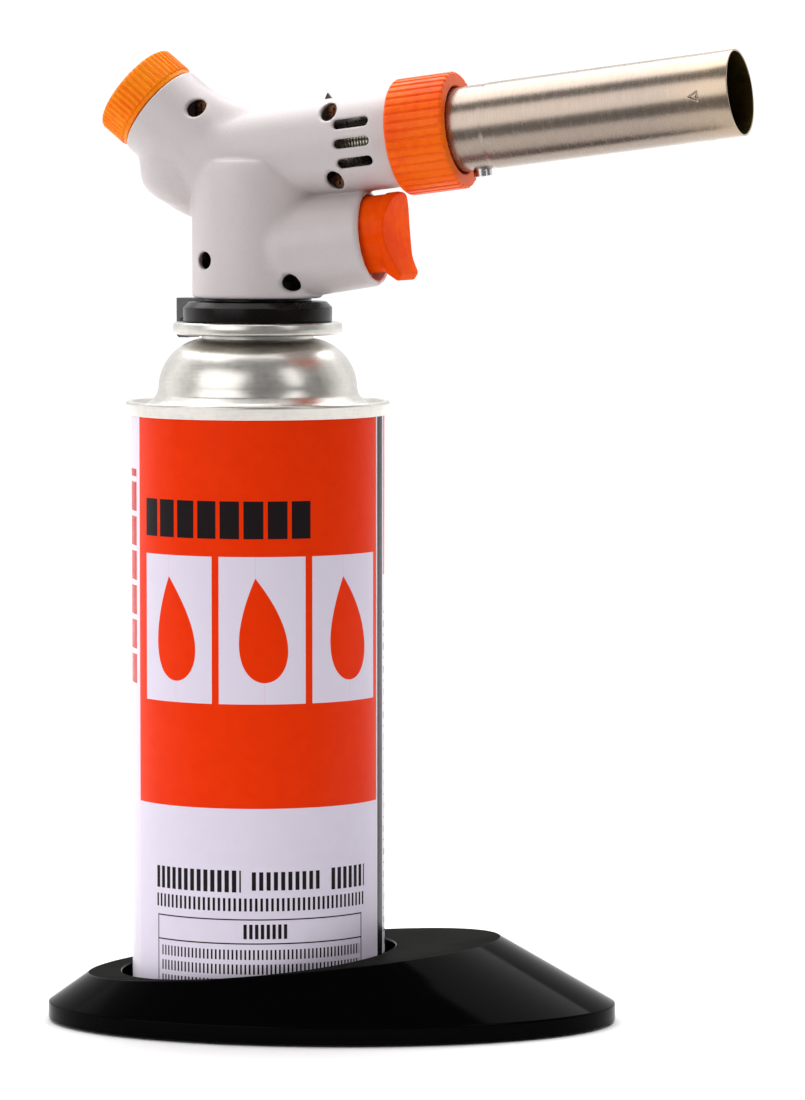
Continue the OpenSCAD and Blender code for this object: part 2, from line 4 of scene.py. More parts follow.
import bmesh
import bpy
import numpy as np
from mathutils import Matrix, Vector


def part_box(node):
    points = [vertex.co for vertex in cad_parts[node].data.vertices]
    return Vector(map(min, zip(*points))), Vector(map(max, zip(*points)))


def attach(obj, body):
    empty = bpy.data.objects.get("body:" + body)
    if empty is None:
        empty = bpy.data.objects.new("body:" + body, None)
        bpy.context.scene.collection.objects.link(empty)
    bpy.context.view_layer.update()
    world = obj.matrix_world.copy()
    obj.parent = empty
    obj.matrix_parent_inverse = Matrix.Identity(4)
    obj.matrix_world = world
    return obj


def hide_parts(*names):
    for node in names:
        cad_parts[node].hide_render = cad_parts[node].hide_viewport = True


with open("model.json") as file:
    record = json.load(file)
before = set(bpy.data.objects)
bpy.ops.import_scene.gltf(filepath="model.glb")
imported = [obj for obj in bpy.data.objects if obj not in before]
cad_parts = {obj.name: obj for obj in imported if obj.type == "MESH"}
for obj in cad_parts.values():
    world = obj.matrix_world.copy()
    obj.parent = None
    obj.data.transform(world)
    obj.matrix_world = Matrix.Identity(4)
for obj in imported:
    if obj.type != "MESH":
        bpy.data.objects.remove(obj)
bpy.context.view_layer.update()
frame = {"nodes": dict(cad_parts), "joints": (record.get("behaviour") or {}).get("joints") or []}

import openvdb
from mathutils import Vector

MM = 0.001

# ---- sizes, in millimetres
JOINTS = {j["name"]: j for j in frame["joints"]}


def box_mm(node):
    """Lowest and highest corner of a CAD node in millimetres."""
    lo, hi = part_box(node)
    return np.array(lo) / MM, np.array(hi) / MM


class Axis:
    """A straight line of the frame: `way` runs along it and `up` is square to it, in the XZ plane."""

    def __init__(self, origin, way):
        self.o = np.array(origin, float)
        self.way = np.array(way, float) / np.linalg.norm(way)
        self.up = np.array((-self.way[2], 0.0, self.way[0]))
        if self.up[2] < 0:
            self.up = -self.up
        self.side = np.cross(self.way, self.up)

    def split(self, x, y, z):
        """Distance along the axis, height above it and distance sideways."""
        dx, dy, dz = x - self.o[0], y - self.o[1], z - self.o[2]
        along = dx * self.way[0] + dz * self.way[2]
        above = dx * self.up[0] + dz * self.up[2]
        return along, above, dy

    def place(self, r, theta, t):
        """Points at radius r, angle theta from `up` and distance t along the axis."""
        up = (r * np.cos(theta))[..., None] * self.up
        side = (r * np.sin(theta))[..., None] * self.side
        return self.o + up + side + t[..., None] * self.way


def joint_way(name):
    return np.array(JOINTS[name]["axis"], float)


def crossing(one, other):
    """Distance along each of two axes to the point where they cross."""
    ways = np.array([[one.way[0], -other.way[0]], [one.way[2], -other.way[2]]])
    return np.linalg.solve(ways, (other.o - one.o)[[0, 2]])


UPRIGHT = Axis((0, 0, 0), (0, 0, 1))
UPRIGHT.up, UPRIGHT.side = np.array((1.0, 0, 0)), np.array((0, 1.0, 0))
BARREL = Axis((0, 0, 226.9), joint_way("air_ring_turn"))
KNOB = Axis((-27.4, 0, 239.2), joint_way("knob_turn"))
TRIGGER = Axis((32.7, 0, 207.0), -joint_way("trigger_pull"))
ELBOW_U, ELBOW_T = crossing(BARREL, KNOB)

CAN_R = 33.2
CAN_FLOOR = 2.5
CAMERA_SIDE = -68.0  # the side that the photo shows, in degrees round from +X
PRINT_FRONT = math.radians(CAMERA_SIDE)
STRIPE_LEFT, PANEL_LEFT, PANEL_RIGHT = [math.radians(degrees) * CAN_R for degrees in (-92, -68, 67.5)]
SEAM_R = 34.7
SEAM_H = 3.7
CAN_TOP = 159.7
NECK_R = 14.6
NECK_Z = 180.6
FLANGE_R = 22.2
RING_Z = 184.1
RING_TOP = 189.3
RING_R = 19.5
HOUSING_Z = 190.2
COLUMN_R = 17.1
SHOULDER_Z, SHOULDER_TOP, SHOULDER_R, SHOULDER_LEAN = 217.0, 226.6, 13.3, 1.3
BARREL_R = 12.6
BARREL_END = 41.0
BARREL_NECK_R = 11.9
BARREL_NECK_END = 46.0
BORE_R = 11.0
THROAT_R = 12.9
THROAT_LEN = 34.0
WALL = 2.0
BOSS_R = 12.4
BOSS_ROOT_R = 13.2
BOSS_ROOT_SIDE = 15.7
BOSS_LEN = 26.0
BOSS_DROP = 1.0
SCREWS = [(-13.9, 239.6), (23.2, 238.5), (24.9, 221.1), (-9.2, 200.2), (13.5, 194.6)]
SCREW_HEAD_Y = -3.0
VENT_U, VENT_LEN, VENT_W, VENT_PITCH = 31.1, 9.8, 2.4, 5.05
KNOB_RIBS = 50
AIR_R, AIR_BACK, AIR_FRONT, AIR_RIBS = 15.15, 41.15, 57.0, 40
TUBE_R, TUBE_WALL, TUBE_BACK, SWAGE_U, MOUTH_U = 11.1, 0.5, 49.5, 66.0, 132.7
DIMPLE_U = 123.5


# ---- mesh helpers
def add_object(name, data):
    thing = bpy.data.objects.new(name, data)
    bpy.context.scene.collection.objects.link(thing)
    return thing


def make_piece(name, points, faces, material, body, replaced=(), sharp=38, normals=None):
    """Adds a mesh piece, in millimetres, that rides a body and stands for CAD nodes."""
    mesh = bpy.data.meshes.new(name)
    mesh.from_pydata((np.asarray(points) * MM).tolist(), [], [list(f) for f in faces])
    if normals is None:
        bm = bmesh.new()
        bm.from_mesh(mesh)
        bmesh.ops.remove_doubles(bm, verts=bm.verts, dist=1e-6)
        bmesh.ops.recalc_face_normals(bm, faces=bm.faces)
        bm.to_mesh(mesh)
        bm.free()
    mesh.shade_smooth()
    if normals is None:
        mesh.set_sharp_from_angle(angle=math.radians(sharp))
    else:
        mesh.normals_split_custom_set_from_vertices(normals.tolist())
    mesh.materials.append(MATERIALS[material])
    piece = add_object(name, mesh)
    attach(piece, body)
    if replaced:
        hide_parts(*replaced)
    return piece


def rounded(corners, steps=5):
    """A closed outline with round corners. Each corner is a point, in 2-D or 3-D, and its radius."""
    out = []
    count = len(corners)
    for i, (corner, radius) in enumerate(corners):
        corner = np.array(corner, float)
        if radius == 0:
            out.append(corner)
            continue
        back = np.array(corners[i - 1][0], float) - corner
        on = np.array(corners[(i + 1) % count][0], float) - corner
        back_len, on_len = np.linalg.norm(back), np.linalg.norm(on)
        back, on = back / back_len, on / on_len
        half = math.acos(max(-1.0, min(1.0, float(back @ on)))) / 2
        if half > 1.55:
            out += [corner] * (steps + 1)
            continue
        cut = min(radius / math.tan(half), 0.48 * back_len, 0.48 * on_len)
        fit = cut * math.tan(half)
        middle = (back + on) / np.linalg.norm(back + on)
        centre = corner + middle * fit / math.sin(half)
        start, end = corner + back * cut - centre, corner + on * cut - centre
        sweep = math.pi - 2 * half
        for k in range(steps + 1):
            t = k / steps
            blend = (math.sin((1 - t) * sweep) * start + math.sin(t * sweep) * end) / math.sin(sweep)
            out.append(centre + blend)
    return out


def section(*corners):
    """A closed (r, z) section; each corner may carry a rounding radius."""
    return np.array(rounded([((c[0], c[1]), c[2] if len(c) > 2 else 0) for c in corners]))


def refine(path, longest):
    """Splits the long sides of a closed section."""
    out = []
    for i, p in enumerate(path):
        q = path[(i + 1) % len(path)]
        parts = max(1, int(math.ceil(np.linalg.norm(q - p) / longest)))
        out += [p + (q - p) * k / parts for k in range(parts)]
    return np.array(out)


def grid_faces(rows, columns):
    """Quads over a grid that wraps in both directions."""
    i, j = np.meshgrid(np.arange(rows), np.arange(columns), indexing="ij")
    i2, j2 = (i + 1) % rows, (j + 1) % columns
    quads = np.stack([i * columns + j, i * columns + j2, i2 * columns + j2, i2 * columns + j], -1)
    return quads.reshape(-1, 4).tolist()


def turned(name, path, axis, material, body, replaced=(), sides=192, shape=None, sharp=38):
    """A closed (r, t) section swept round an axis; shape(theta, r, t) gives each point's own radius."""
    theta = np.arange(sides) * (2 * math.pi / sides)
    r = np.repeat(path[:, 0][:, None], sides, 1)
    t = np.repeat(path[:, 1][:, None], sides, 1)
    theta = np.repeat(theta[None, :], len(path), 0)
    if shape:
        r = shape(theta, r, t)
    points = axis.place(r, theta, t).reshape(-1, 3)
    return make_piece(name, points, grid_faces(len(path), sides), material, body, replaced, sharp)


def smoothstep(a, b, x):
    """0 up to a and 1 from b on, with a smooth rise between them."""
    t = np.clip((x - a) / (b - a), 0, 1)
    return t * t * (3 - 2 * t)


def smin(a, b, k):
    """The union of two fields, with a round join about k wide."""
    h = np.maximum(k - np.abs(a - b), 0) / k
    return np.minimum(a, b) - h * h * k * 0.25


def smax(a, b, k):
    """What two fields share, with a round edge about k wide."""
    return -smin(-a, -b, k)


def slope_of(field, p, step=0.02):
    """Gradient of a field at points (n, 3)."""
    out = []
    for i in range(3):
        d = np.zeros(3)
        d[i] = step
        out.append((field(*(p + d).T) - field(*(p - d).T)) / (2 * step))
    return np.stack(out, -1)


def solid_mesh(field, lo, hi, voxel):
    """Points, faces and normals of the surface where field(x, y, z) is zero, in millimetres."""
    lo = np.array(lo, float)
    count = np.ceil((np.array(hi) - lo) / voxel).astype(int) + 1
    ticks = [lo[i] + voxel * np.arange(count[i]) for i in range(3)]
    x, y, z = np.meshgrid(*ticks, indexing="ij", sparse=True)
    values = np.ascontiguousarray(field(x, y, z), dtype=np.float32)
    grid = openvdb.FloatGrid(4 * voxel)
    grid.copyFromArray(values)
    points, quads = grid.convertToQuads(0.0)
    points = points.astype(float) * voxel + lo
    for _ in range(3):
        slope = slope_of(field, points)
        square = np.maximum((slope ** 2).sum(1), 0.2)
        move = field(*points.T)[:, None] * slope / square[:, None]
        points -= np.clip(move, -0.5 * voxel, 0.5 * voxel)
    slope = slope_of(field, points)
    normals = slope / np.maximum(np.linalg.norm(slope, axis=1), 1e-9)[:, None]
    a, b, c = points[quads[:, 0]], points[quads[:, 1]], points[quads[:, 2]]
    if (np.cross(b - a, c - a) * normals[quads[:, 0]]).sum() < 0:
        quads = quads[:, ::-1]
    return points, quads.tolist(), normals


# ---- materials
def srgb(r, g, b):
    """Linear colour from the 0-255 values of a screen colour."""
    def linear(v):
        v /= 255
        return v / 12.92 if v <= 0.04045 else ((v + 0.055) / 1.055) ** 2.4
    return (linear(r), linear(g), linear(b), 1.0)


# places of the colour sockets on a Mix node, whose sockets for numbers have the same names
COLOUR_A, COLOUR_B, COLOUR_OUT = 6, 7, 2


class Value:
    """A number inside a node tree, with ordinary arithmetic."""

    def __init__(self, paint, socket):
        self.paint, self.socket = paint, socket

    def math(self, operation, *others, clamp=False):
        return self.paint.math(operation, self, *others, clamp=clamp)

    def __add__(self, other):
        return self.math("ADD", other)

    def __sub__(self, other):
        return self.math("SUBTRACT", other)

    def __rsub__(self, other):
        return self.paint.math("SUBTRACT", other, self)

    def __mul__(self, other):
        return self.math("MULTIPLY", other)

    def __truediv__(self, other):
        return self.math("DIVIDE", other)

    __radd__ = __add__
    __rmul__ = __mul__


class Paint:
    """A node material and short calls that build it. Places are in millimetres of the row frame."""

    def __init__(self, name):
        self.material = bpy.data.materials.new(name)
        self.material.use_nodes = True
        self.tree = self.material.node_tree
        self.shader = self.tree.nodes["Principled BSDF"]
        scaled = self.node("VectorMath")
        scaled.operation = "SCALE"
        self.fill(scaled, Vector=self.node("TexCoord").outputs["Object"], Scale=1 / MM)
        self.place = scaled.outputs[0]
        self.height = None

    def feed(self, socket, value):
        if isinstance(value, Value):
            self.tree.links.new(value.socket, socket)
        elif isinstance(value, bpy.types.NodeSocket):
            self.tree.links.new(value, socket)
        else:
            socket.default_value = value

    def fill(self, node, **inputs):
        """Feeds a node's inputs by their names, in which an underscore stands for a space."""
        for name, value in inputs.items():
            self.feed(node.inputs[name.replace("_", " ")], value)
        return node

    def node(self, kind, **inputs):
        return self.fill(self.tree.nodes.new("ShaderNode" + kind), **inputs)

    def math(self, operation, *values, clamp=False):
        node = self.node("Math")
        node.operation = operation
        node.use_clamp = clamp
        for socket, value in zip(node.inputs, values):
            self.feed(socket, value)
        return Value(self, node.outputs[0])

    def xyz(self, source=None):
        node = self.node("SeparateXYZ", Vector=source or self.place)
        return [Value(self, s) for s in node.outputs]

    def vector(self, x, y, z):
        return self.node("CombineXYZ", X=x, Y=y, Z=z).outputs[0]

    def along(self, axis):
        """Distance along an axis, angle round it from `up`, and radius."""
        x, y, z = self.xyz()
        t = (x - axis.o[0]) * axis.way[0] + (z - axis.o[2]) * axis.way[2]
        up = (x - axis.o[0]) * axis.up[0] + (z - axis.o[2]) * axis.up[2]
        angle = self.math("ARCTAN2", y * axis.side[1], up)
        radius = self.math("SQRT", up * up + y * y)
        return t, angle, radius

    def noise(self, scale, detail=3.0, rough=0.5, source=None):
        """Noise of about `scale` features a millimetre, from 0 to 1."""
        place = source or self.place
        node = self.node("TexNoise", Vector=place, Scale=scale, Detail=detail, Roughness=rough)
        return Value(self, node.outputs["Fac"])

    def cells(self, scale):
        """Distance to the nearest of about `scale` scattered points a millimetre."""
        node = self.node("TexVoronoi", Vector=self.place, Scale=scale)
        return Value(self, node.outputs["Distance"])

    def span(self, value, low, high, to_low=0.0, to_high=1.0):
        """Maps low..high to to_low..to_high, clamped and smooth."""
        ends = dict(From_Min=low, From_Max=high, To_Min=to_low, To_Max=to_high)
        node = self.node("MapRange", Value=value, **ends)
        node.interpolation_type = "SMOOTHSTEP"
        return Value(self, node.outputs["Result"])

    def edge(self, value, at, soft=0.08):
        """0 below `at` and 1 above it."""
        return self.math("MULTIPLY_ADD", value, 1 / soft, 0.5 - at / soft, clamp=True)

    def band(self, value, low, high, soft=0.08):
        return self.edge(value, low, soft) - self.edge(value, high, soft)

    def blend(self, factor, a, b):
        """Colour a where the factor is 0 and b where it is 1."""
        node = self.node("Mix", Factor=factor)
        node.data_type = "RGBA"
        self.feed(node.inputs[COLOUR_A], a)
        self.feed(node.inputs[COLOUR_B], b)
        return node.outputs[COLOUR_OUT]

    def worn_edges(self, radius=0.4):
        """1 on sharp convex edges, from the bevelled normal against the true one."""
        bevel = self.node("Bevel", Radius=radius * MM)
        bevel.samples = 4
        dot = self.node("VectorMath")
        dot.operation = "DOT_PRODUCT"
        self.feed(dot.inputs[0], bevel.outputs[0])
        self.feed(dot.inputs[1], self.node("NewGeometry").outputs["Normal"])
        return self.span(Value(self, dot.outputs["Value"]), 0.995, 0.9)

    def bump(self, height, depth):
        """Adds relief: height 1 stands `depth` millimetres above height 0."""
        node = self.node("Bump", Strength=1.0, Distance=depth * MM, Height=height)
        if self.height is not None:
            self.feed(node.inputs["Normal"], self.height)
        self.height = node.outputs[0]
        self.feed(self.shader.inputs["Normal"], self.height)

    def set(self, **inputs):
        self.fill(self.shader, **inputs)
        return self.material


def moulded(name, light, dark, roughness, grain, depth, gloss=0.5, subsurface=0.0):
    """Injection-moulded plastic: spark-eroded grain, slow colour drift and fine scuffs."""
    p = Paint(name)
    drift = p.noise(0.05, 2.0)
    fine = p.noise(grain, 4.0, 0.6)
    scuff = p.span(p.noise(0.35, 5.0, 0.7), 0.56, 0.72)
    p.bump(fine, depth)
    p.bump(p.noise(0.12, 1.0), 0.02)
    p.set(
        Base_Color=p.blend(p.span(drift * 0.7 + fine * 0.3, 0.35, 0.65), dark, light),
        Roughness=p.span(fine, 0.3, 0.7, roughness - 0.04, roughness + 0.04) + scuff * 0.05,
        Specular_IOR_Level=gloss,
        IOR=1.49,
    )
    if subsurface:
        p.set(Subsurface_Weight=subsurface, Subsurface_Scale=0.001)
    return p.material


def worked_metal(name, light, dark, roughness, scale, edges):
    """Metal with tool marks and cloudy tarnish; `edges` says how bright its rubbed edges are."""
    p = Paint(name)
    spread = 0.08
    marks = p.noise(scale, 5.0, 0.62)
    cloud = p.noise(0.12, 4.0, 0.6)
    colour = p.blend(p.span(cloud * 0.6 + marks * 0.4, 0.36, 0.64), dark, light)
    if edges:
        rubbed = tuple(min(1, c * 1.25) for c in light[:3]) + (1.0,)
        colour = p.blend(p.worn_edges() * edges, colour, rubbed)
    p.bump(marks, 0.004)
    return p.set(
        Base_Color=colour,
        Metallic=1.0,
        Roughness=p.span(marks * 0.5 + cloud * 0.5, 0.35, 0.65, roughness - spread, roughness + spread),
    )


def housing_plastic():
    """Warm grey moulding with a spark-eroded grain, small pits and handled patches."""
    p = Paint("housing_grey")
    grain = p.noise(2.2, 3.0, 0.65)
    pits = p.cells(1.6)
    drift = p.noise(0.03, 2.0)
    handled = p.span(p.noise(0.14, 5.0, 0.65), 0.55, 0.75)
    p.bump(p.span(grain * 0.6 + pits * 0.4, 0.25, 0.7), 0.022)
    p.bump(p.noise(0.09, 1.0), 0.03)
    colour = p.blend(p.span(drift, 0.3, 0.7), srgb(204, 195, 195), srgb(211, 203, 203))
    colour = p.blend(p.span(pits, 0.15, 0.5) * 0.25, srgb(196, 187, 187), colour)
    colour = p.blend(handled * 0.12, colour, srgb(188, 180, 178))
    return p.set(
        Base_Color=colour,
        Roughness=p.span(grain, 0.3, 0.7, 0.36, 0.46) + handled * 0.06,
        IOR=1.5,
    )


def orange_plastic(name, light, dark, roughness, coat, gloss, scratched):
    """Orange moulding with flow streaks and fine scratches, which light passes into a little."""
    p = Paint(name)
    fine = p.noise(6.0, 3.0, 0.5)
    drift = p.noise(0.06, 2.0)
    flow = p.noise(0.5, 3.0, 0.6)
    scratch_source = p.vector(*[v * s for v, s in zip(p.xyz(), (0.6, 6.0, 0.9))])
    scratch = p.span(p.noise(1.0, 6.0, 0.75, scratch_source), 0.64, 0.72)
    streaks = p.span(flow, 0.3, 0.7, roughness - 0.03, roughness + 0.04)
    p.bump(fine, 0.0025)
    p.bump(scratch, -0.0025 * scratched)
    return p.set(
        Base_Color=p.blend(p.span(drift * 0.6 + flow * 0.4, 0.35, 0.65), dark, light),
        Roughness=streaks + scratch * (0.08 * scratched),
        Subsurface_Weight=0.12,
        Subsurface_Scale=0.0012,
        Subsurface_Radius=(1.0, 0.35, 0.1),
        Coat_Weight=coat,
        Coat_Roughness=0.16,
        Specular_IOR_Level=gloss,
        IOR=1.5,
    )


def burner_steel():
    """Satin stainless tube: fine marks and rolling clouds, and a warm heat tint near the mouth."""
    p = Paint("burner_steel")
    t, angle, radius = p.along(BARREL)
    marks = p.noise(1.0, 2.0, 0.6, p.vector(t * 1.6, angle * 2.0, radius))
    mottle = p.noise(0.4, 2.0, 0.5)
    cloud = p.noise(0.09, 3.0)
    skin = p.edge(radius, TUBE_R - TUBE_WALL * 0.9, 0.05)
    tint = p.span(t + cloud * 14.0, MOUTH_U - 16.0, MOUTH_U + 6.0)
    rolled = p.span(mottle * 0.4 + marks * 0.6, 0.35, 0.65)
    outside = p.blend(rolled, srgb(150, 136, 125), srgb(157, 143, 132))
    outside = p.blend(tint * 0.35, outside, srgb(196, 172, 140))
    # inside the bore the steel is dark olive brown: partly heat tint, partly painted shade of the tube's
    # hollow
    inside = p.blend(p.span(cloud * 0.6 + mottle * 0.4, 0.35, 0.65), srgb(58, 50, 26), srgb(104, 84, 42))
    p.bump(marks, 0.0001)
    return p.set(
        Base_Color=p.blend(skin, inside, outside),
        Metallic=1.0,
        Roughness=p.span(marks * 0.5 + mottle * 0.5, 0.35, 0.65, 0.25, 0.28) + (1.0 - skin) * 0.1,
    )


def tinplate():
    """Bright tinplate with spangle clouds, drawn lightly round the can."""
    p = Paint("tinplate")
    t, angle, radius = p.along(UPRIGHT)
    spangle = p.cells(0.55)
    mottle = p.noise(0.5, 5.0, 0.65)
    drawn = p.noise(1.0, 4.0, 0.6, p.vector(t * 2.5, angle * 4.0, radius * 2.5))
    mix = mottle * 0.35 + drawn * 0.5 + spangle * 0.15
    p.bump(mottle, 0.0006)
    p.bump(drawn, 0.001)
    return p.set(
        Base_Color=p.blend(p.span(mix, 0.3, 0.62), srgb(194, 190, 184), srgb(208, 205, 199)),
        Metallic=1.0,
        Roughness=p.span(mix, 0.3, 0.62, 0.28, 0.34),
    )


class CanPrint(Paint):
    """The print unrolled: `arc` runs round the wall from its front side and z runs up, in millimetres."""

    def __init__(self, name):
        super().__init__(name)
        x, y, self.z = self.xyz()
        facing = x * math.cos(PRINT_FRONT) + y * math.sin(PRINT_FRONT)
        aside = y * math.cos(PRINT_FRONT) - x * math.sin(PRINT_FRONT)
        self.arc = self.math("ARCTAN2", aside, facing) * CAN_R

    def patch(self, left, right, low, high):
        return self.band(self.arc, left, right) * self.band(self.z, low, high)

    def bars(self, left, right, low, high, width, space):
        """Upright bars, which stand for a line of lettering."""
        cut = self.band(self.math("MODULO", self.arc - left, width + space), 0.0, width)
        return cut * self.patch(left, right, low, high)

    def ruled_box(self, left, right, low, high, line=0.35):
        inner = self.patch(left + line, right - line, low + line, high - line)
        return self.patch(left, right, low, high) - inner

    def flame_blocks(self):
        """Three blocks, each with a flame left out of its middle."""
        left, right, low, high = -35.1, 37.2, 86.6, 124.6
        blocks, gap = 3, 1.9
        flame_foot, flame_height, flame_width, flame_lean, flame_offset = 5.5, 27.0, 16.5, 2.4, 0.6
        pitch = (right - left + gap) / blocks
        local = self.math("MODULO", self.arc - left, pitch)
        block = self.band(local, 0.0, pitch - gap) * self.patch(left, right, low, high)
        rise = self.math("DIVIDE", self.z - (low + flame_foot), flame_height, clamp=True)
        half_width = self.math("SQRT", rise) * (1.0 - rise) * flame_width
        lean = (rise * rise) * flame_lean
        off = self.math("ABSOLUTE", local - (pitch - gap) / 2 + lean - flame_offset)
        return block * (1.0 - self.edge(half_width - off, 0.0, 0.12))

    def dark_blocks(self):
        left, right, low, high = -35.1, 13.9, 129.2, 138.9
        blocks, gap = 8, 1.1
        return self.bars(left, right, low, high, (right - left + gap) / blocks - gap, gap)

    def small_print(self):
        """A headline in three parts, a line below it and a ruled box with a title and four lines."""
        marks = self.bars(-30.4, -4.6, 37.9, 43.6, 1.2, 0.75)
        marks = marks + self.bars(-1.8, 17.0, 38.4, 43.2, 1.1, 0.8)
        marks = marks + self.bars(20.0, 32.2, 37.9, 43.6, 1.2, 0.75)
        marks = marks + self.bars(-30.4, 32.4, 33.0, 36.4, 0.7, 0.7)
        box_left, box_right, title_foot, line = -30.0, 31.0, 24.4, 0.35
        marks = marks + self.ruled_box(box_left, box_right, 2.0, 31.0, line)
        marks = marks + self.patch(box_left, box_right, title_foot, title_foot + line)
        marks = marks + self.bars(-4.0, 7.8, 25.8, 29.6, 0.9, 0.6)
        for foot in (20.4, 16.6, 12.8, 9.0):
            marks = marks + self.bars(-28.4, 30.0, foot, foot + 2.6, 0.5, 0.62)
        return self.math("MINIMUM", marks, 1.0)

    def back_table(self):
        """Ruled rows with broken lines of small blocks."""
        row, foot = 6.0, 12.0
        up_row = self.math("MODULO", self.z, row)
        rules = self.band(up_row, 0.0, 0.3) * self.band(self.z, foot, 112.0)
        words = self.vector(self.arc, self.math("FLOOR", self.z / row) * 7.0, 0.0)
        text = self.band(up_row, 2.2, 4.0) * self.band(self.z, foot, 108.0)
        text = text * self.edge(self.noise(0.4, 1.0, 0.5, words), 0.47, 0.02)
        text = text * self.band(self.math("MODULO", self.arc + 200.0, 2.4), 0.0, 1.9)
        return self.math("MINIMUM", rules + text * 0.85, 1.0)


def can_print():
    """Varnished print on tinplate. Plain blocks, bars and flames replace the lettering of a real can."""
    p = CanPrint("can_print")
    orange, deep = srgb(232, 52, 4), srgb(206, 34, 6)
    lilac, ink, white = srgb(218, 210, 226), srgb(30, 24, 26), srgb(222, 214, 226)
    field_foot, back_field_foot = 59.6, 118.0

    ink_drift = p.noise(0.25, 4.0, 0.6)
    flat = p.blend(p.span(ink_drift, 0.3, 0.7) * 0.16, orange, deep)
    pale = p.blend(p.span(ink_drift, 0.3, 0.7) * 0.2, lilac, srgb(208, 199, 217))
    colour = p.blend(p.edge(p.z, field_foot), pale, flat)
    colour = p.blend(p.flame_blocks(), colour, lilac)
    colour = p.blend(p.dark_blocks(), colour, ink)
    colour = p.blend(p.small_print(), colour, ink)

    # the pale stripe on the left, with a broken red rule
    colour = p.blend(p.band(p.arc, STRIPE_LEFT, PANEL_LEFT), colour, white)
    red = p.patch(PANEL_LEFT - 9.5, PANEL_LEFT - 2.4, 90.0, 146.0)
    red = red * p.band(p.math("MODULO", p.z, 9.0), 0.0, 7.6)
    colour = p.blend(red, colour, srgb(196, 34, 30))

    # the dark side seam on the right, between two thin pale lines
    seam_left, seam_right, pale_right = PANEL_RIGHT + 0.7, PANEL_RIGHT + 5.2, PANEL_RIGHT + 6.8
    colour = p.blend(p.band(p.arc, PANEL_RIGHT, pale_right), colour, white)
    colour = p.blend(p.band(p.arc, seam_left, seam_right), colour, srgb(24, 20, 20))

    # the back: an orange band over a pale ruled table
    back = p.math("MAXIMUM", p.edge(p.arc, pale_right), 1.0 - p.edge(p.arc, STRIPE_LEFT))
    behind = p.blend(p.edge(p.z, back_field_foot), pale, flat)
    behind = p.blend(p.back_table(), behind, ink)
    colour = p.blend(back, colour, behind)

    scuff = p.span(p.noise(0.6, 6.0, 0.75), 0.6, 0.74)
    orange_peel = p.noise(0.45, 2.0, 0.5)
    p.bump(orange_peel, 0.008)
    p.bump(p.noise(0.02, 1.0), 0.12)
    return p.set(
        Base_Color=colour,
        Roughness=p.span(orange_peel, 0.3, 0.7, 0.2, 0.27) + scuff * 0.1,
        Coat_Weight=0.03,
        Coat_Roughness=0.07,
        Specular_IOR_Level=0.05,
        IOR=1.5,
    )


def stand_gloss():
    """Black moulded stand: a polished skirt and a finely etched top face, painted lighter partly for its
    etched finish and partly as painted light from above.
    """
    p = Paint("stand_gloss")
    z = p.xyz()[2]
    nz = p.xyz(p.node("NewGeometry").outputs["True Normal"])[2]
    top = p.edge(nz, 0.975, 0.02) * p.edge(z, 10.0, 0.5)
    grain = p.noise(3.0, 3.0, 0.6)
    smear = p.span(p.noise(0.06, 5.0, 0.65), 0.42, 0.75)
    dust = p.span(p.noise(1.4, 6.0, 0.8), 0.66, 0.74)
    p.bump(grain * top, 0.012)
    p.bump(p.noise(0.07, 1.0), 0.03)
    # the up-facing top is lighter grey than the near-black skirt: partly its etched finish, partly
    # painted light falling on the top
    colour = p.blend(top, srgb(3, 3, 4), srgb(20, 20, 18))
    colour = p.blend(dust * 0.06, colour, srgb(120, 118, 112))
    return p.set(
        Base_Color=colour,
        Roughness=top * 0.46 + smear * 0.06 + dust * 0.1 + 0.1,
        Specular_IOR_Level=0.02 - top * 0.015,
        IOR=1.5,
    )


def rubber(name, colour, worn):
    """Matt rubber, with a paler bloom where it has aged."""
    p = Paint(name)
    grain = p.noise(2.5, 5.0, 0.7)
    bloom = p.span(p.noise(0.1, 4.0, 0.6), 0.45, 0.7)
    p.bump(grain, 0.03)
    return p.set(
        Base_Color=p.blend(bloom * 0.6, colour, worn),
        Roughness=p.span(grain, 0.3, 0.7, 0.6, 0.8),
        IOR=1.5,
    )


METALS = (
    # name, light, dark, roughness, tool marks a millimetre, rubbed edges
    ("plate_steel", (182, 184, 187), (132, 135, 140), 0.38, 0.8, 0.0),
    ("screw_steel", (216, 216, 218), (150, 150, 152), 0.22, 2.0, 0.6),
    ("spring_steel", (205, 206, 210), (160, 160, 166), 0.24, 4.0, 0.0),
    ("brass", (214, 178, 92), (170, 132, 56), 0.28, 3.0, 0.4),
    # housing_screw: the heads' copper is darkened as painted shade of the deep recesses they sit in
    ("housing_screw", (104, 68, 46), (40, 28, 22), 0.3, 3.0, 0.4),
    ("mixer_metal", (214, 208, 196), (150, 142, 128), 0.24, 3.0, 0.5),
)
PLASTICS = (
    # name, light, dark, roughness, grain a millimetre, its depth, gloss, light passed into it
    ("nylon", (232, 230, 222), (216, 212, 200), 0.42, 3.0, 0.01, 0.5, 0.2),
    ("connector_black", (16, 9, 8), (9, 5, 4), 0.26, 4.0, 0.003, 0.16),
    ("lug_grey", (92, 92, 96), (70, 70, 74), 0.36, 3.0, 0.006),
    ("ceramic", (242, 238, 226), (228, 221, 204), 0.24, 5.0, 0.004),
    ("piezo_body", (234, 232, 226), (220, 216, 206), 0.34, 3.0, 0.01),
    ("piezo_cap", (220, 48, 52), (192, 34, 40), 0.3, 3.0, 0.01),
    ("mark_dark", (58, 42, 42), (40, 30, 30), 0.4, 3.0, 0.01),
)
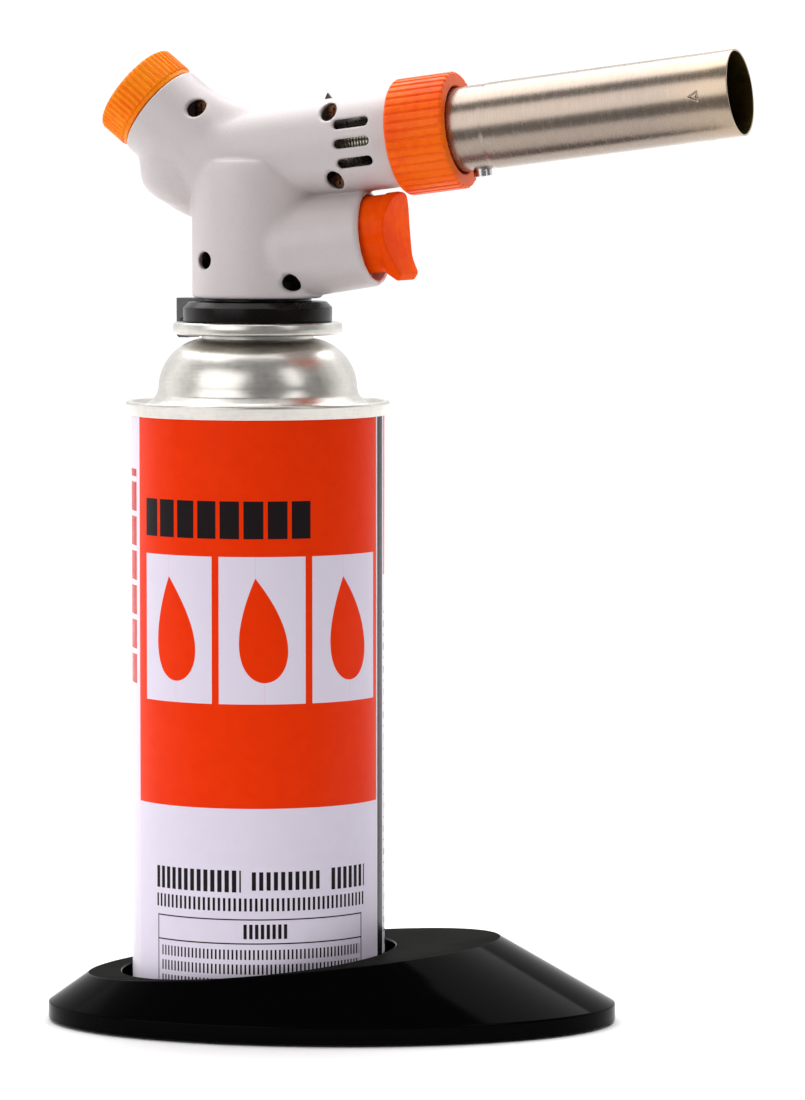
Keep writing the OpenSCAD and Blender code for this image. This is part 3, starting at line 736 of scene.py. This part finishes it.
ORANGES = (
    # name, light, dark, roughness, coat, gloss, scratches
    ("orange_plastic", (252, 108, 8), (242, 84, 4), 0.34, 0.0, 0.12, 1.0),
    # the knob is a lighter, yellower copy of the ring's orange: painted highlight of the lamps on it
    ("knob_orange", (255, 146, 14), (250, 120, 6), 0.36, 0.0, 0.12, 1.0),
    ("trigger_orange", (248, 90, 6), (236, 70, 4), 0.2, 0.08, 0.0, 0.2),
)
RUBBERS = (
    # name, colour, bloom
    ("grip_rubber", (34, 34, 37), (62, 61, 60)),
    ("seal_rubber", (26, 26, 28), (44, 43, 43)),
    ("lead_sleeve", (40, 40, 44), (66, 65, 66)),
)
MATERIALS = {
    "stand_gloss": stand_gloss(),
    "can_print": can_print(),
    "tinplate": tinplate(),
    "housing_grey": housing_plastic(),
    "burner_steel": burner_steel(),
}
RECIPES = ((worked_metal, METALS), (moulded, PLASTICS), (orange_plastic, ORANGES), (rubber, RUBBERS))
for recipe, rows in RECIPES:
    for name, light, dark, *numbers in rows:
        MATERIALS[name] = recipe(name, srgb(*light), srgb(*dark), *numbers)


# ---- stand
def build_stand():
    """Oval shell with a sloping top and a well; a and b are the half lengths of its ovals."""
    yaw = math.radians(17.5)
    slope = math.radians(5.2)
    foot = dict(a=74.8, b=47.37, x=19.2)
    top = dict(a=54.6, b=37.5, x=9.3, z=17.4)
    well_r, rim_z, low_z, plate_z, inset = 36.0, 5.0, 0.6, 2.55, 1.8

    def oval(a, b, phi):
        c, s = math.cos(phi), math.sin(phi)
        d = math.hypot(a * c, b * s)
        return a * a * c / d, b * b * s / d

    def top_z(x):
        return top["z"] + (x - top["x"]) * math.tan(slope)

    sides = 288
    points = []
    for i in range(sides):
        phi = 2 * math.pi * i / sides
        wx, wy = well_r * math.cos(phi), well_r * math.sin(phi)
        tx, ty = oval(top["a"], top["b"], phi)
        tx = top["x"] + tx * math.cos(slope)
        fx, fy = oval(foot["a"], foot["b"], phi)
        gx, gy = oval(foot["a"] - inset, foot["b"] - inset, phi)
        fx, gx = fx + foot["x"], gx + foot["x"]
        loop = rounded([
            ((wx, wy, plate_z), 0),
            ((wx, wy, top_z(wx)), 0.45),
            ((tx, ty, top_z(tx)), 0.8),
            ((fx, fy, rim_z), 0.7),
            ((fx, fy, low_z), 0.4),
            ((gx, gy, low_z), 0.2),
            ((gx, gy, plate_z), 0),
        ], steps=6)
        points.append(refine(loop, 400))
    rows = len(points[0])
    grid = np.array(points).reshape(-1, 3)
    turn = np.array([[math.cos(yaw), math.sin(yaw), 0], [-math.sin(yaw), math.cos(yaw), 0], [0, 0, 1]])
    make_piece(
        "stand_shell_body", grid @ turn, grid_faces(sides, rows), "stand_gloss",
        "stand", ["stand_shell"], sharp=25,
    )


# ---- can
def build_can_wall():
    """Straight wall whose sheet laps over itself at the side seam."""
    weld_lap, lap_height = 0.09, 0.1
    weld = PRINT_FRONT + PANEL_RIGHT / CAN_R

    def with_weld(theta, r, t):
        lap = np.cos(theta - weld - weld_lap)
        step = smoothstep(math.cos(weld_lap - 0.005), math.cos(weld_lap - 0.015), lap)
        return r + lap_height * step * (r > CAN_R - 0.15)

    low = CAN_FLOOR + SEAM_H
    wall = section((CAN_R - 0.3, low), (CAN_R, low), (CAN_R, CAN_TOP), (CAN_R - 0.3, CAN_TOP))
    turned("can_wall", refine(wall, 8.0), UPRIGHT, "can_print", "can",
           ["can_body"], sides=360, shape=with_weld)


def build_can_bottom():
    """Rolled seam and domed-in floor."""
    floor_r, floor_rise, floor_foot, sheet = 30.0, 2.4, 3.3, 0.6
    cap = [
        ((30.6, CAN_FLOOR + 3.2), 0.4), ((31.4, CAN_FLOOR + 0.3), 0.5),
        ((33.6, CAN_FLOOR), 0.8), ((SEAM_R, CAN_FLOOR + 1.4), 0.8),
        ((34.2, CAN_FLOOR + SEAM_H), 0.4), ((32.6, CAN_FLOOR + SEAM_H), 0.3),
        ((32.3, CAN_FLOOR + 1.4), 0.4), ((31.7, CAN_FLOOR + 3.9), 0.6),
    ]

    def on_floor(r, foot):
        return (max(r, 0.02), CAN_FLOOR + foot + floor_rise * (1 - (r / floor_r) ** 2)), 0

    inward = [floor_r * (1 - k / 8) for k in range(9)]
    cap += [on_floor(r, floor_foot + sheet) for r in inward]
    cap += [on_floor(r, floor_foot) for r in reversed(inward)]
    turned("can_bottom", np.array(rounded(cap)), UPRIGHT, "tinplate", "can", ["can_base_cap"], sides=256)


def build_can_top():
    """Rolled seam, countersink, flared foot, round dome and neck."""
    foot_r, round_r, sheet = 26.05, 13.2, 0.5
    mid = CAN_TOP + 6.9
    outline = [
        ((33.5, CAN_TOP), 0), ((34.4, CAN_TOP + 2.3), 0.6), ((SEAM_R, CAN_TOP + 3.1), 0.5),
        ((34.3, CAN_TOP + 3.68), 0.4), ((32.9, CAN_TOP + 3.68), 0.5), ((32.3, CAN_TOP + 0.9), 0.5),
        ((31.2, CAN_TOP + 0.6), 0.5), ((30.2, CAN_TOP + 1.2), 0.6), ((29.2, CAN_TOP + 2.8), 1.2),
        ((27.7, CAN_TOP + 3.9), 1.6), ((26.45, CAN_TOP + 5.4), 1.6),
    ]

    def dome(radius, angles):
        centre_r = foot_r - round_r
        return [((centre_r + radius * math.cos(a), mid + radius * math.sin(a)), 0) for a in angles]

    end = math.acos((NECK_R - foot_r + round_r) / round_r)
    upward = [end * k / 24 for k in range(25)]
    outline += dome(round_r, upward)
    outline += [((NECK_R, NECK_Z), 0), ((NECK_R - sheet, NECK_Z), 0)]
    outline += dome(round_r - sheet, reversed(upward))
    outline += [
        ((25.7, CAN_TOP + 5.1), 0), ((27.0, CAN_TOP + 3.4), 0), ((28.8, CAN_TOP + 2.3), 0),
        ((29.8, CAN_TOP + 0.5), 0), ((31.0, CAN_TOP - 0.1), 0), ((32.6, CAN_TOP - 0.1), 0),
    ]
    turned("can_top", np.array(rounded(outline)), UPRIGHT, "tinplate", "can", ["can_dome"], sides=288)


def build_can_flange():
    """Rolled flange of the mounting cup, with the notch that the head's claw passes through."""
    notch, notch_r, notch_half = math.radians(132), 20.6, 4.0

    def with_notch(theta, r, t):
        off = np.abs((theta - notch + math.pi) % (2 * math.pi) - math.pi) * FLANGE_R
        cut = 1 - smoothstep(notch_half - 0.3, notch_half + 0.3, off)
        return np.where(r > notch_r, r - (r - notch_r) * cut, r)

    cup = section(
        (14.1, 180.62), (20.9, 180.72, 0.5), (22.05, 181.0, 0.7), (FLANGE_R, 182.4, 2.0),
        (22.1, 183.6, 0.6), (21.4, 183.98, 0.4), (2.4, 183.98), (2.4, 183.5),
        (21.2, 183.5, 0.3), (21.4, 181.4, 0.4), (14.1, 181.2),
    )
    turned("can_flange", refine(cup, 3.0), UPRIGHT, "tinplate", "can",
           ["can_mounting_cup"], sides=360, shape=with_notch)


# ---- head
def build_connector():
    """Black ring that seats on the flange, with a narrower collar inside the housing."""
    ring = section(
        (8.0, RING_Z), (RING_R, RING_Z, 0.25), (RING_R, RING_TOP - 1.5, 0.3),
        (RING_R - 1.5, RING_TOP, 0.3), (14.1, RING_TOP, 0.3), (14.1, 192.8), (14.7, 192.8),
        (14.7, 194.6), (8.0, 194.6),
    )
    turned("connector_body", ring, UPRIGHT, "connector_black", "head", ["connector_ring"], sides=256)


def capsule(x, y, z, a, b, ra, rb):
    """Distance to a bar with round ends of radius ra at a and rb at b, both in the plane y = 0."""
    a, b = np.array(a, float), np.array(b, float)
    run = b - a
    t = np.clip(((x - a[0]) * run[0] + (z - a[2]) * run[2]) / (run @ run), 0, 1)
    gap = np.sqrt((x - a[0] - t * run[0]) ** 2 + y ** 2 + (z - a[2] - t * run[2]) ** 2)
    return gap - (ra + (rb - ra) * t)


# the belly under the throat: two bars with round ends that run together, cut slanting from below
BELLY_LOW, BELLY_HIGH, BELLY_LOW_R, BELLY_HIGH_R = (-19.9, 0, 222.3), (-21.6, 0, 232.0), 11.6, 11.8
BELLY_BACK, BELLY_ROOT, BELLY_ROOT_R = (-19.9, 0, 222.6), (-9.0, 0, 224.5), 12.8
CUT_X, CUT_Z, CUT_WAY_X, CUT_WAY_Z = -18.5, 212.5, -0.396, -0.918
HOLLOW_LOW, HOLLOW_HIGH, HOLLOW_LOW_R, HOLLOW_HIGH_R = (-19.9, 0, 222.5), (-21.5, 0, 232.0), 9.2, 9.6

# inside the housing: posts round the screws, seats and bores
POST_R, SCREW_HOLE_R, SCREW_HOLE_HALF, RECESS_R = 2.6, 1.3, 7.05, 2.25
COLUMN_SEAT_R, COLUMN_SEAT_H, VALVE_BORE_R = 14.3, 4.0, 6.3
SHANK_BORE_R, SHANK_BORE_LEN, RIM_BORE_R, RIM_BORE_LEN = 10.35, 15.0, 10.9, 4.0
PIEZO_HALF, PIEZO_MID, PIEZO_HALF_LEN = 4.6, 21.0, 7.0


def housing_outside(x, y, z):
    """The housing's outer skin: column, barrel, throat, belly and boss run into each other."""
    u, up, side = BARREL.split(x, y, z)
    t, t_up, t_side = KNOB.split(x, y, z)
    w, q, s = TRIGGER.split(x, y, z)
    round_barrel = np.sqrt(up * up + side * side)
    round_throat = np.sqrt(t_up * t_up + t_side * t_side)

    rise = np.clip((z - SHOULDER_Z) / (SHOULDER_TOP - SHOULDER_Z), 0, 1)
    shoulder = SHOULDER_R + (COLUMN_R - SHOULDER_R) * np.sqrt(1 - 0.98 * rise ** 2)
    leaning = np.sqrt((x + SHOULDER_LEAN * rise) ** 2 + y * y)
    column = smax(0.8 * (leaning - shoulder), z - SHOULDER_TOP, 1.0)

    behind = np.minimum(u - ELBOW_U, 0)
    barrel = smax(np.sqrt(round_barrel ** 2 + behind ** 2) - BARREL_R, u - BARREL_END, 0.8)
    neck = np.maximum(np.maximum(round_barrel - BARREL_NECK_R, u - BARREL_NECK_END), -u)
    behind = np.minimum(t - ELBOW_T, 0)
    throat = np.sqrt(round_throat ** 2 + behind ** 2) - THROAT_R

    belly = capsule(x, y, z, BELLY_LOW, BELLY_HIGH, BELLY_LOW_R, BELLY_HIGH_R)
    belly = smin(belly, capsule(x, y, z, BELLY_BACK, BELLY_ROOT, BELLY_LOW_R, BELLY_ROOT_R), 1.5)
    belly = smax(belly, (x - CUT_X) * CUT_WAY_X + (z - CUT_Z) * CUT_WAY_Z, 4.0)
    throat = smin(throat, belly, 0.8)

    # the crotch between barrel and throat is wide and round in the middle and tight at the sides
    crotch = 9.0 - 7.5 * smoothstep(2.0, 9.0, np.abs(y))
    outer = smin(smin(barrel, throat, crotch), column, 0.9)

    boss_r = BOSS_R - w * (BOSS_ROOT_R - BOSS_R) / BOSS_LEN
    squeeze = boss_r / (BOSS_R - w * (BOSS_ROOT_SIDE - BOSS_R) / BOSS_LEN)
    boss = np.sqrt((q + BOSS_DROP) ** 2 + (s * squeeze) ** 2) - boss_r
    boss = smax(smax(boss, -BOSS_LEN - 1.5 - w, 7.0), w, 1.8)
    outer = smin(smin(outer, boss, 1.2), neck, 0.3)
    return smax(smax(outer, t, 0.6), HOUSING_Z - z, 1.2)


def housing_inside(x, y, z):
    """The space inside the housing."""
    u, up, side = BARREL.split(x, y, z)
    t, t_up, t_side = KNOB.split(x, y, z)
    w, q, s = TRIGGER.split(x, y, z)
    radial = np.sqrt(x * x + y * y)
    round_barrel = np.sqrt(up * up + side * side)
    round_throat = np.sqrt(t_up * t_up + t_side * t_side)
    round_boss = np.sqrt((q + BOSS_DROP) ** 2 + s * s)
    shank = np.sqrt(q * q + s * s)

    column = np.maximum(np.maximum(radial - (COLUMN_R - WALL), HOUSING_Z + WALL - z), z - SHOULDER_Z)
    barrel = np.maximum(round_barrel - BORE_R, -4 - u)
    throat = np.maximum(np.maximum(round_throat - (THROAT_R - WALL), t + WALL), -THROAT_LEN - t)
    belly = capsule(x, y, z, HOLLOW_LOW, HOLLOW_HIGH, HOLLOW_LOW_R, HOLLOW_HIGH_R)
    hollow = np.minimum(np.minimum(column, barrel), np.minimum(throat, belly))
    for sx, sz in SCREWS:
        hollow = np.maximum(hollow, POST_R - np.sqrt((x - sx) ** 2 + (z - sz) ** 2))

    seat = np.maximum(radial - COLUMN_SEAT_R, z - (HOUSING_Z + COLUMN_SEAT_H))
    valve_bore = np.maximum(round_throat - VALVE_BORE_R, -WALL - 1 - t)
    shank_bore = np.maximum(shank - SHANK_BORE_R, -SHANK_BORE_LEN - w)
    rim_bore = np.maximum(round_boss - RIM_BORE_R, -RIM_BORE_LEN - w)
    piezo_way = np.abs(w + PIEZO_MID) - PIEZO_HALF_LEN
    piezo = np.maximum(np.maximum(np.abs(q), np.abs(s)) - PIEZO_HALF, piezo_way)
    for bore in (seat, valve_bore, shank_bore, rim_bore, piezo):
        hollow = np.minimum(hollow, bore)
    return hollow


def housing_field(x, y, z):
    """Both halves of the housing as one solid: negative inside the plastic."""
    u, up, side = BARREL.split(x, y, z)
    out = smax(housing_outside(x, y, z), -housing_inside(x, y, z), 0.7)
    for k in (-1, 0, 1):
        long_way = np.maximum(np.abs(u - VENT_U) - (VENT_LEN - VENT_W) / 2, 0)
        slot = np.sqrt(long_way ** 2 + (up - k * VENT_PITCH) ** 2) - VENT_W / 2
        out = smax(out, -slot, 0.7)
    for sx, sz in SCREWS:
        post = np.sqrt((x - sx) ** 2 + (z - sz) ** 2)
        recess = np.maximum(post - RECESS_R, y - SCREW_HEAD_Y)
        out = smax(out, -recess, 0.7)
        out = np.maximum(out, -np.maximum(post - SCREW_HOLE_R, np.abs(y) - SCREW_HOLE_HALF))
    return out


def build_housing():
    voxel, parting = 0.4, 0.05
    low, high, half_width, overlap = (-42, 189), (48, 258), 18.5, 0.6
    halves = (("housing_near", "housing_right", -1), ("housing_far", "housing_left", 1))
    for name, node, side in halves:
        y_low, y_high = sorted((side * half_width, -side * overlap))

        def field(x, y, z, side=side):
            return smax(housing_field(x, y, z), parting - side * y, 0.35)

        lo, hi = (low[0], y_low, low[1]), (high[0], y_high, high[1])
        points, faces, normals = solid_mesh(field, lo, hi, voxel)
        make_piece(name, points, faces, "housing_grey", "head", [node], normals=normals)


def build_mixer_thread():
    """Threaded collar on the mixing tube, seen through the vents."""
    root_r, crest_r, bore_r, back, front = 5.6, 6.25, 5.52, 26.0, 37.0
    turns, pitch = 12, 0.8
    path = [(root_r, back)]
    for k in range(turns):
        start = back + 0.4 + k * pitch
        path += [(root_r, start), (crest_r, start + 0.3), (crest_r, start + 0.42), (root_r, start + 0.72)]
    path += [(root_r, front), (bore_r, front), (bore_r, back)]
    turned("mixer_collar", np.array(path), BARREL, "mixer_metal", "head",
           sides=96, sharp=25)


def build_tube():
    """Burner tube with four small triangles pressed in near its mouth."""
    half_len, half_w, depth = 1.3, 1.4, 0.32
    swage_r, swage_bore_r, row_gap = 10.95, 10.45, 0.11

    def pressed(theta, r, t):
        quarter = (theta + math.pi / 4) % (math.pi / 2) - math.pi / 4
        v = quarter * TUBE_R
        u = t - DIMPLE_U
        slant = math.hypot(2 * half_len, half_w)
        upper = (half_w * (u + half_len) - 2 * half_len * np.abs(v)) / slant
        inside = np.minimum(upper, half_len - u)
        press = smoothstep(-0.12, 0.38, inside) - 0.45 * smoothstep(0.3, 0.75, inside)
        return r - depth * press

    bore_r = TUBE_R - TUBE_WALL
    outline = section(
        (swage_r, TUBE_BACK), (swage_r, SWAGE_U - 0.6, 1.0), (TUBE_R, SWAGE_U + 0.4, 1.0),
        (TUBE_R, MOUTH_U, 0.2), (bore_r, MOUTH_U, 0.2), (bore_r, SWAGE_U),
        (swage_bore_r, SWAGE_U - 0.6), (swage_bore_r, TUBE_BACK),
    )

    # close rows of points where the triangles are
    path = refine(outline, 6.0)
    fine = []
    for i, p in enumerate(path):
        q = path[(i + 1) % len(path)]
        length = abs(q[1] - p[1])
        fine.append(p)
        if min(p[1], q[1]) < DIMPLE_U + 1.8 and max(p[1], q[1]) > DIMPLE_U - 1.8 and length > 1:
            parts = int(length / row_gap)
            fine += [p + (q - p) * k / parts for k in range(1, parts)]
    turned("burner_tube_shell", np.array(fine), BARREL, "burner_steel", "head",
           ["burner_tube"], sides=560, shape=pressed, sharp=50)


# ---- knob, ring and trigger
def build_knob():
    """Flow knob with round ribs and a recessed face round its screw."""
    rib_depth = 0.5

    def ribbed(theta, r, t):
        fade = smoothstep(1.45, 1.75, t) * (1 - smoothstep(9.0, 9.25, t)) * smoothstep(11.6, 12.3, r)
        valley = (0.5 - 0.5 * np.cos(theta * KNOB_RIBS)) ** 1.4
        return r - rib_depth * fade * valley

    path = section(
        (1.3, 3.05), (1.3, 7.3), (3.0, 7.3, 0.1), (3.0, 8.7, 0.25), (9.7, 8.4, 0.6), (10.5, 9.2, 0.4),
        (12.5, 9.16, 0.3), (12.94, 8.68, 0.35), (12.94, 1.65, 0.2), (12.45, 1.45, 0.1), (12.4, 0.3, 0.25),
        (5.4, 0.3), (5.4, -1.55), (2.5, -1.55), (2.5, 3.0),
    )
    turned("flow_knob_cap", refine(path, 0.5), KNOB, "knob_orange", "knob",
           ["flow_knob"], sides=KNOB_RIBS * 14, shape=ribbed, sharp=50)


def build_air_ring():
    """Air ring with narrow grooves between flat ribs."""
    groove_depth = 0.42

    def ribbed(theta, r, t):
        fade = smoothstep(AIR_BACK + 0.3, AIR_BACK + 0.8, t)
        phase = theta * AIR_RIBS / (2 * math.pi) % 1.0
        valley = 1 - smoothstep(0.08, 0.21, np.abs(phase - 0.5))
        return r - groove_depth * fade * valley * (r > 13.5)

    path = section(
        (BARREL_NECK_R + 0.1, AIR_BACK, 0.2), (14.5, AIR_BACK + 0.02, 0.4), (AIR_R, AIR_BACK + 0.8, 0.5),
        (AIR_R, AIR_FRONT - 0.45, 0.2), (14.7, AIR_FRONT, 0.2), (11.6, AIR_FRONT, 0.3),
        (11.3, AIR_FRONT - 0.6), (11.3, 48.3), (9.9, 48.3), (9.9, 46.3), (BARREL_NECK_R + 0.1, 46.3),
    )
    turned("air_ring_grip", refine(path, 0.45), BARREL, "orange_plastic", "air_ring",
           ["air_ring"], sides=AIR_RIBS * 16, shape=ribbed, sharp=50)


def trigger_field(x, y, z):
    """Round shank, a scooped face and a lip below it; w runs forward and q up from the axis."""
    shank_r, face_w = 9.95, 9.6
    pad_back, pad_slant, pad_step = 5.1, 0.1, 0.28
    scoop_r, scoop_w, scoop_q = 23.0, 29.2, -1.0
    tail_w, hollow_r, hollow_w = -10.0, 8.0, 2.0
    nose, nose_top = (8.2, 10.6), (9.6, 9.2)
    lip_front, lip_tip, lip_back = (8.8, -10.9), (7.2, -13.1), (4.3, -10.5)
    lip_w, lip_top, lip_foot, lip_half, lip_spread = 4.35, -4.0, -13.2, 6.4, 0.24
    w, q, s = TRIGGER.split(x, y, z)
    radial = np.sqrt(q * q + s * s)

    def plane(a, b):
        """Positive on the outer side of the line from a to b in the (w, q) plane."""
        run = np.array(b, float) - np.array(a, float)
        normal = np.array((run[1], -run[0])) / np.linalg.norm(run)
        return (w - a[0]) * normal[0] + (q - a[1]) * normal[1]

    pad_start = pad_back + pad_slant * np.minimum(q, 0)
    shank = radial - (shank_r + pad_step * smoothstep(-0.2, 0.2, w - pad_start))
    shank = smax(shank, w - face_w, 0.8)
    shank = smax(shank, -plane(nose, nose_top), 0.8)
    lip = smax(-plane(lip_front, lip_tip), -plane(lip_tip, lip_back), 0.8)
    lip = smax(lip, lip_w - w, 0.4)
    lip = smax(lip, np.abs(s) - (lip_half + (q - lip_foot) * lip_spread), 1.2)
    lip = np.maximum(np.maximum(lip, q - lip_top), w - face_w)
    scoop = scoop_r - np.sqrt((w - scoop_w) ** 2 + (q - scoop_q) ** 2)
    out = smax(smin(shank, lip, 0.8), scoop, 0.55)
    out = np.maximum(out, tail_w - w)
    hollow = np.maximum(radial - hollow_r, w - hollow_w)
    return smax(out, -hollow, 0.3)


def build_trigger():
    lo, hi = box_mm("trigger_button")
    points, faces, normals = solid_mesh(trigger_field, lo - 1.2, hi + 1.2, 0.25)
    make_piece("trigger_pad", points, faces, "trigger_orange", "trigger",
               ["trigger_button"], normals=normals)


# ---- CAD nodes kept as they are
KEPT = {
    "plate_steel": ["stand_base_plate"],
    "screw_steel": ["stand_screws", "burner_screw", "knob_screw"],
    "grip_rubber": ["stand_grip_sheet"],
    "nylon": ["can_valve_housing", "can_valve_stem", "can_vapour_tube"],
    "spring_steel": ["can_valve_spring", "electrode", "air_shutter", "trigger_spring"],
    "lug_grey": ["locking_lug"],
    "brass": ["inlet_spigot", "valve_body", "jet_nozzle", "flame_holder", "valve_needle"],
    "seal_rubber": ["inlet_seal", "needle_seal"],
    "housing_screw": ["housing_screws"],
    "mark_dark": ["index_mark"],
    "mixer_metal": ["mixing_tube"],
    "ceramic": ["electrode_insulator"],
    "lead_sleeve": ["ignition_lead"],
    "piezo_body": ["piezo_igniter"],
    "piezo_cap": ["piezo_plunger"],
}

# bevel widths of the kept nodes whose edges are rounded, in millimetres
BEVELLED = {
    "locking_lug": 0.25, "burner_screw": 0.12, "knob_screw": 0.12, "housing_screws": 0.1,
    "stand_base_plate": 0.2, "stand_grip_sheet": 0.2, "index_mark": 0.08,
}


def dress_kept_nodes():
    for look, nodes in KEPT.items():
        for node in nodes:
            for slot in frame["nodes"][node].material_slots:
                slot.material = MATERIALS[look]
    for node, width in BEVELLED.items():
        bevel = frame["nodes"][node].modifiers.new("edge", "BEVEL")
        bevel.width = width * MM
        bevel.segments = 3
        bevel.limit_method = "ANGLE"
        bevel.angle_limit = math.radians(35)


build_stand()
build_can_wall()
build_can_bottom()
build_can_top()
build_can_flange()
build_connector()
build_housing()
build_mixer_thread()
build_tube()
build_knob()
build_air_ring()
build_trigger()
dress_kept_nodes()


# ---- floor, light and camera
def floor_paper():
    """White paper that glows far behind the torch, so that it runs into the background without a line."""
    p = Paint("floor_paper")
    p.bump(p.noise(0.8, 3.0), 0.01)
    behind = p.xyz()[0]
    return p.set(
        Base_Color=p.blend(p.noise(0.01, 2.0) * 0.2, (0.88, 0.88, 0.88, 1.0), (0.85, 0.85, 0.85, 1.0)),
        Roughness=0.6,
        Specular_IOR_Level=0.2,
        Emission_Color=(1.0, 1.0, 1.0, 1.0),
        Emission_Strength=p.span(behind, 250.0, 1100.0, 0.0, 0.6),
    )


def build_floor():
    mesh = bpy.data.meshes.new("floor")
    half, front = 6.0, 0.3
    corners = [(-front, -half, 0), (half, -half, 0), (half, half, 0), (-front, half, 0)]
    mesh.from_pydata(corners, [], [(0, 1, 2, 3)])
    mesh.materials.append(floor_paper())
    floor = add_object("floor", mesh)
    floor.rotation_euler = (0, 0, math.radians(CAMERA_SIDE + 180))


def look_at(thing, place, target):
    """Puts a lamp or the camera at a place and turns it to a target, both in metres."""
    thing.location = place
    thing.rotation_euler = (target - place).to_track_quat("-Z", "Y").to_euler()


SOFT_BOXES = (
    # name, azimuth, elevation, distance, width, height, radiance
    ("left_box", -48, 22, 1.3, 1.3, 1.0, 2.0),
    ("strip_box", 44, 30, 1.3, 0.35, 0.9, 2.2),
    ("far_left_box", -106, 16, 1.3, 1.2, 1.0, 0.5),
    ("right_box", 111, 18, 1.4, 1.1, 1.0, 0.4),
    ("top_box", 180, 68, 1.3, 2.0, 1.4, 3.2),
)


def soft_box(name, azimuth, elevation, distance, width, height, radiance):
    """A soft box that faces the torch. Its azimuth counts round from the camera's side, in degrees."""
    light = bpy.data.lights.new(name, "AREA")
    light.shape = "RECTANGLE"
    light.size, light.size_y = width, height
    light.energy = radiance * math.pi * width * height
    a, e = math.radians(CAMERA_SIDE + azimuth), math.radians(elevation)
    centre = Vector((0.03, 0, 0.14))
    way = Vector((math.cos(a) * math.cos(e), math.sin(a) * math.cos(e), math.sin(e)))
    look_at(add_object(name, light), centre + distance * way, centre)


def build_light():
    """Soft boxes, and a background that is white behind the torch and dim on the camera's side."""
    world = bpy.data.worlds.new("studio")
    bpy.context.scene.world = world
    world.use_nodes = True
    tree = world.node_tree
    coords = tree.nodes.new("ShaderNodeTexCoord")
    facing = tree.nodes.new("ShaderNodeVectorMath")
    facing.operation = "DOT_PRODUCT"
    side = math.radians(CAMERA_SIDE)
    facing.inputs[1].default_value = (math.cos(side), math.sin(side), 0.0)
    glow = tree.nodes.new("ShaderNodeMapRange")
    glow.interpolation_type = "SMOOTHSTEP"
    ends = {"From Min": 0.1, "From Max": -0.7, "To Min": 0.26, "To Max": 1.04}
    for name, number in ends.items():
        glow.inputs[name].default_value = number
    tree.links.new(coords.outputs["Generated"], facing.inputs[0])
    tree.links.new(facing.outputs["Value"], glow.inputs["Value"])
    tree.links.new(glow.outputs["Result"], tree.nodes["Background"].inputs["Strength"])
    tree.nodes["Background"].inputs["Color"].default_value = (1.0, 1.0, 1.0, 1.0)
    for box in SOFT_BOXES:
        soft_box(*box)


def build_camera():
    side = math.radians(CAMERA_SIDE)
    distance, height, aim_aside, aim_height = 1.5, 0.232, 0.0379, 0.124
    camera = bpy.data.cameras.new("camera")
    camera.lens = 187.5
    camera.sensor_width = 36.0
    camera.clip_start, camera.clip_end = 0.05, 50
    place = Vector((distance * math.cos(side), distance * math.sin(side), height))
    aim = Vector((-aim_aside * math.sin(side), aim_aside * math.cos(side), aim_height))
    bpy.context.scene.camera = add_object("camera", camera)
    look_at(bpy.context.scene.camera, place, aim)


build_floor()
build_light()
build_camera()
bpy.context.scene.view_settings.view_transform = "Standard"
bpy.context.view_layer.update()
